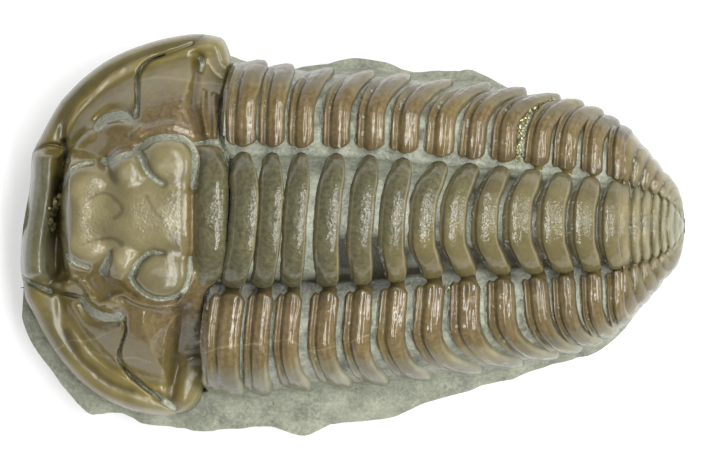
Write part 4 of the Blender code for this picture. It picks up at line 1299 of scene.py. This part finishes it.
class FOSSIL_OT_stage(bpy.types.Operator):
    """Sets the pale floor, the soft overhead light and the camera straight above"""

    bl_idname = "fossil.stage"
    bl_label = "Stage"

    def execute(self, context):
        scene = context.scene
        settings = scene.fossil
        bm = bmesh.new()
        bmesh.ops.create_grid(bm, x_segments=1, y_segments=1, size=0.6)
        mesh = new_mesh("stage_floor", bm)
        floor = new_object("stage_floor", mesh)
        material, _, shader = new_material("White card")
        shader.inputs["Base Color"].default_value = rgb("#B4B4B4")
        shader.inputs["Roughness"].default_value = 0.9
        # The card glows a little, as one lit from below does, so that the shadows on it stay pale.
        shader.inputs["Emission Color"].default_value = rgb("#FFFFFF")
        shader.inputs["Emission Strength"].default_value = 0.52
        mesh.materials.append(material)

        scene.view_settings.view_transform = "Standard"
        world = bpy.data.worlds.new("Soft room")
        world.use_nodes = True
        background = world.node_tree.nodes["Background"]
        background.inputs["Color"].default_value = rgb("#FFFFFF")
        background.inputs["Strength"].default_value = settings.room_light
        scene.world = world
        for name, position, size_x, size_y, watts in (
            ("Inner light strip", (0.125, 0.0, 0.50), 1.0, 0.04, settings.strip_watts),
            ("Outer light strip", (0.24, 0.0, 0.47), 1.0, 0.05, settings.strip_watts),
            ("Rear light strip", (0.46, 0.03, 0.24), 0.35, 0.12, 0.5 * settings.strip_watts),
            ("Cross light strip", (0.10, 0.0, 0.50), 0.02, 0.7, 0.20 * settings.strip_watts),
        ):
            light = bpy.data.lights.new(name, "AREA")
            light.shape = "RECTANGLE"
            light.size, light.size_y = size_x, size_y
            light.energy = watts
            lamp = new_object(name, light)
            lamp.location = position
            lamp.rotation_euler = Vector(position).to_track_quat("Z", "Y").to_euler()

        camera_data = bpy.data.cameras.new("Camera")
        camera = new_object("Camera", camera_data)
        distance = settings.camera_distance
        camera_data.sensor_width = 36
        # The picture's width is exact at half the fossil's height, 5 mm over the floor.
        camera_data.lens = camera_data.sensor_width * (distance - 5 * MM) / (VIEW_WIDTH * GRID * MM)
        camera_data.clip_start = 0.01
        camera_data.clip_end = 20
        camera.location = (frame_x(VIEW_CENTRE[0]) * MM, frame_y(VIEW_CENTRE[1]) * MM, distance)
        scene.camera = camera
        return {"FINISHED"}


def colour_choice(name, description, hex_colour):
    """A colour that a user can change."""
    colour = rgb(hex_colour)[:3]
    return FloatVectorProperty(name=name, description=description, default=colour, subtype="COLOR")


def size_choice(name, description, metres):
    """A length that a user can change."""
    return FloatProperty(name=name, description=description, default=metres, min=0, unit="LENGTH")


class FossilSettings(bpy.types.PropertyGroup):
    """The fossil's colours and sizes, and its light"""

    shell_colour: colour_choice("Shell", "Colour of the head's shell", "#655A31")
    flank_colour: colour_choice("Flanks", "Colour of the inner ribs", "#5A4D34")
    ring_colour: colour_choice("Rear rings", "Colour of the glabella and the rear rings", "#665F43")
    smoke_colour: colour_choice("Front rings", "Colour of the front rings and the front rim", "#4A4834")
    tip_colour: colour_choice("Rib tips", "Colour of the ribs' worn tips", "#7A7A65")
    stone_colour: colour_choice("Mudstone", "Colour of the stone", "#747768")
    pyrite_colour: colour_choice("Pyrite", "Colour of the pyrite crystals", "#B5B080")
    shell_depth: size_choice("Shell thickness", "Thickness of the head's shell", 0.18 * MM)
    ripple_height: size_choice("Rib ripples", "Height of the fine ripples along the ribs", 0.034 * MM)
    crystal_size: size_choice("Largest crystal", "Edge of the largest pyrite crystal", 0.26 * MM)
    camera_distance: size_choice("Camera height", "Height of the camera over the floor", 0.6)
    room_light: FloatProperty(name="Room light", description="Strength of the room's light", default=0.32)
    strip_watts: FloatProperty(name="Strips", description="Power of a light strip", default=2.6, unit="POWER")
    pyrite_seed: IntProperty(name="Pyrite seed", description="Which scatter the pyrite takes", default=4)


class FOSSIL_PT_panel(bpy.types.Panel):
    """Lists the fossil's pieces and settings"""

    bl_label = "Trilobite fossil"
    bl_idname = "FOSSIL_PT_panel"
    bl_space_type = "VIEW_3D"
    bl_region_type = "UI"
    bl_category = "Fossil"

    def draw(self, context):
        for operator in OPERATORS:
            self.layout.operator(operator.bl_idname)
        for name in FossilSettings.__annotations__:
            self.layout.prop(context.scene.fossil, name)


OPERATORS = (
    FOSSIL_OT_head_shield,
    FOSSIL_OT_free_cheeks,
    FOSSIL_OT_body_segments,
    FOSSIL_OT_tail_shield,
    FOSSIL_OT_matrix,
    FOSSIL_OT_pyrite,
    FOSSIL_OT_stage,
)
CLASSES = (FossilSettings, *OPERATORS, FOSSIL_PT_panel)


def register():
    for cls in CLASSES:
        bpy.utils.register_class(cls)
    bpy.types.Scene.fossil = PointerProperty(type=FossilSettings)


def unregister():
    del bpy.types.Scene.fossil
    for cls in reversed(CLASSES):
        bpy.utils.unregister_class(cls)


def main():
    register()
    for operator in OPERATORS:
        group, name = operator.bl_idname.split(".")
        getattr(getattr(bpy.ops, group), name)()


if __name__ == "__main__":
    main()
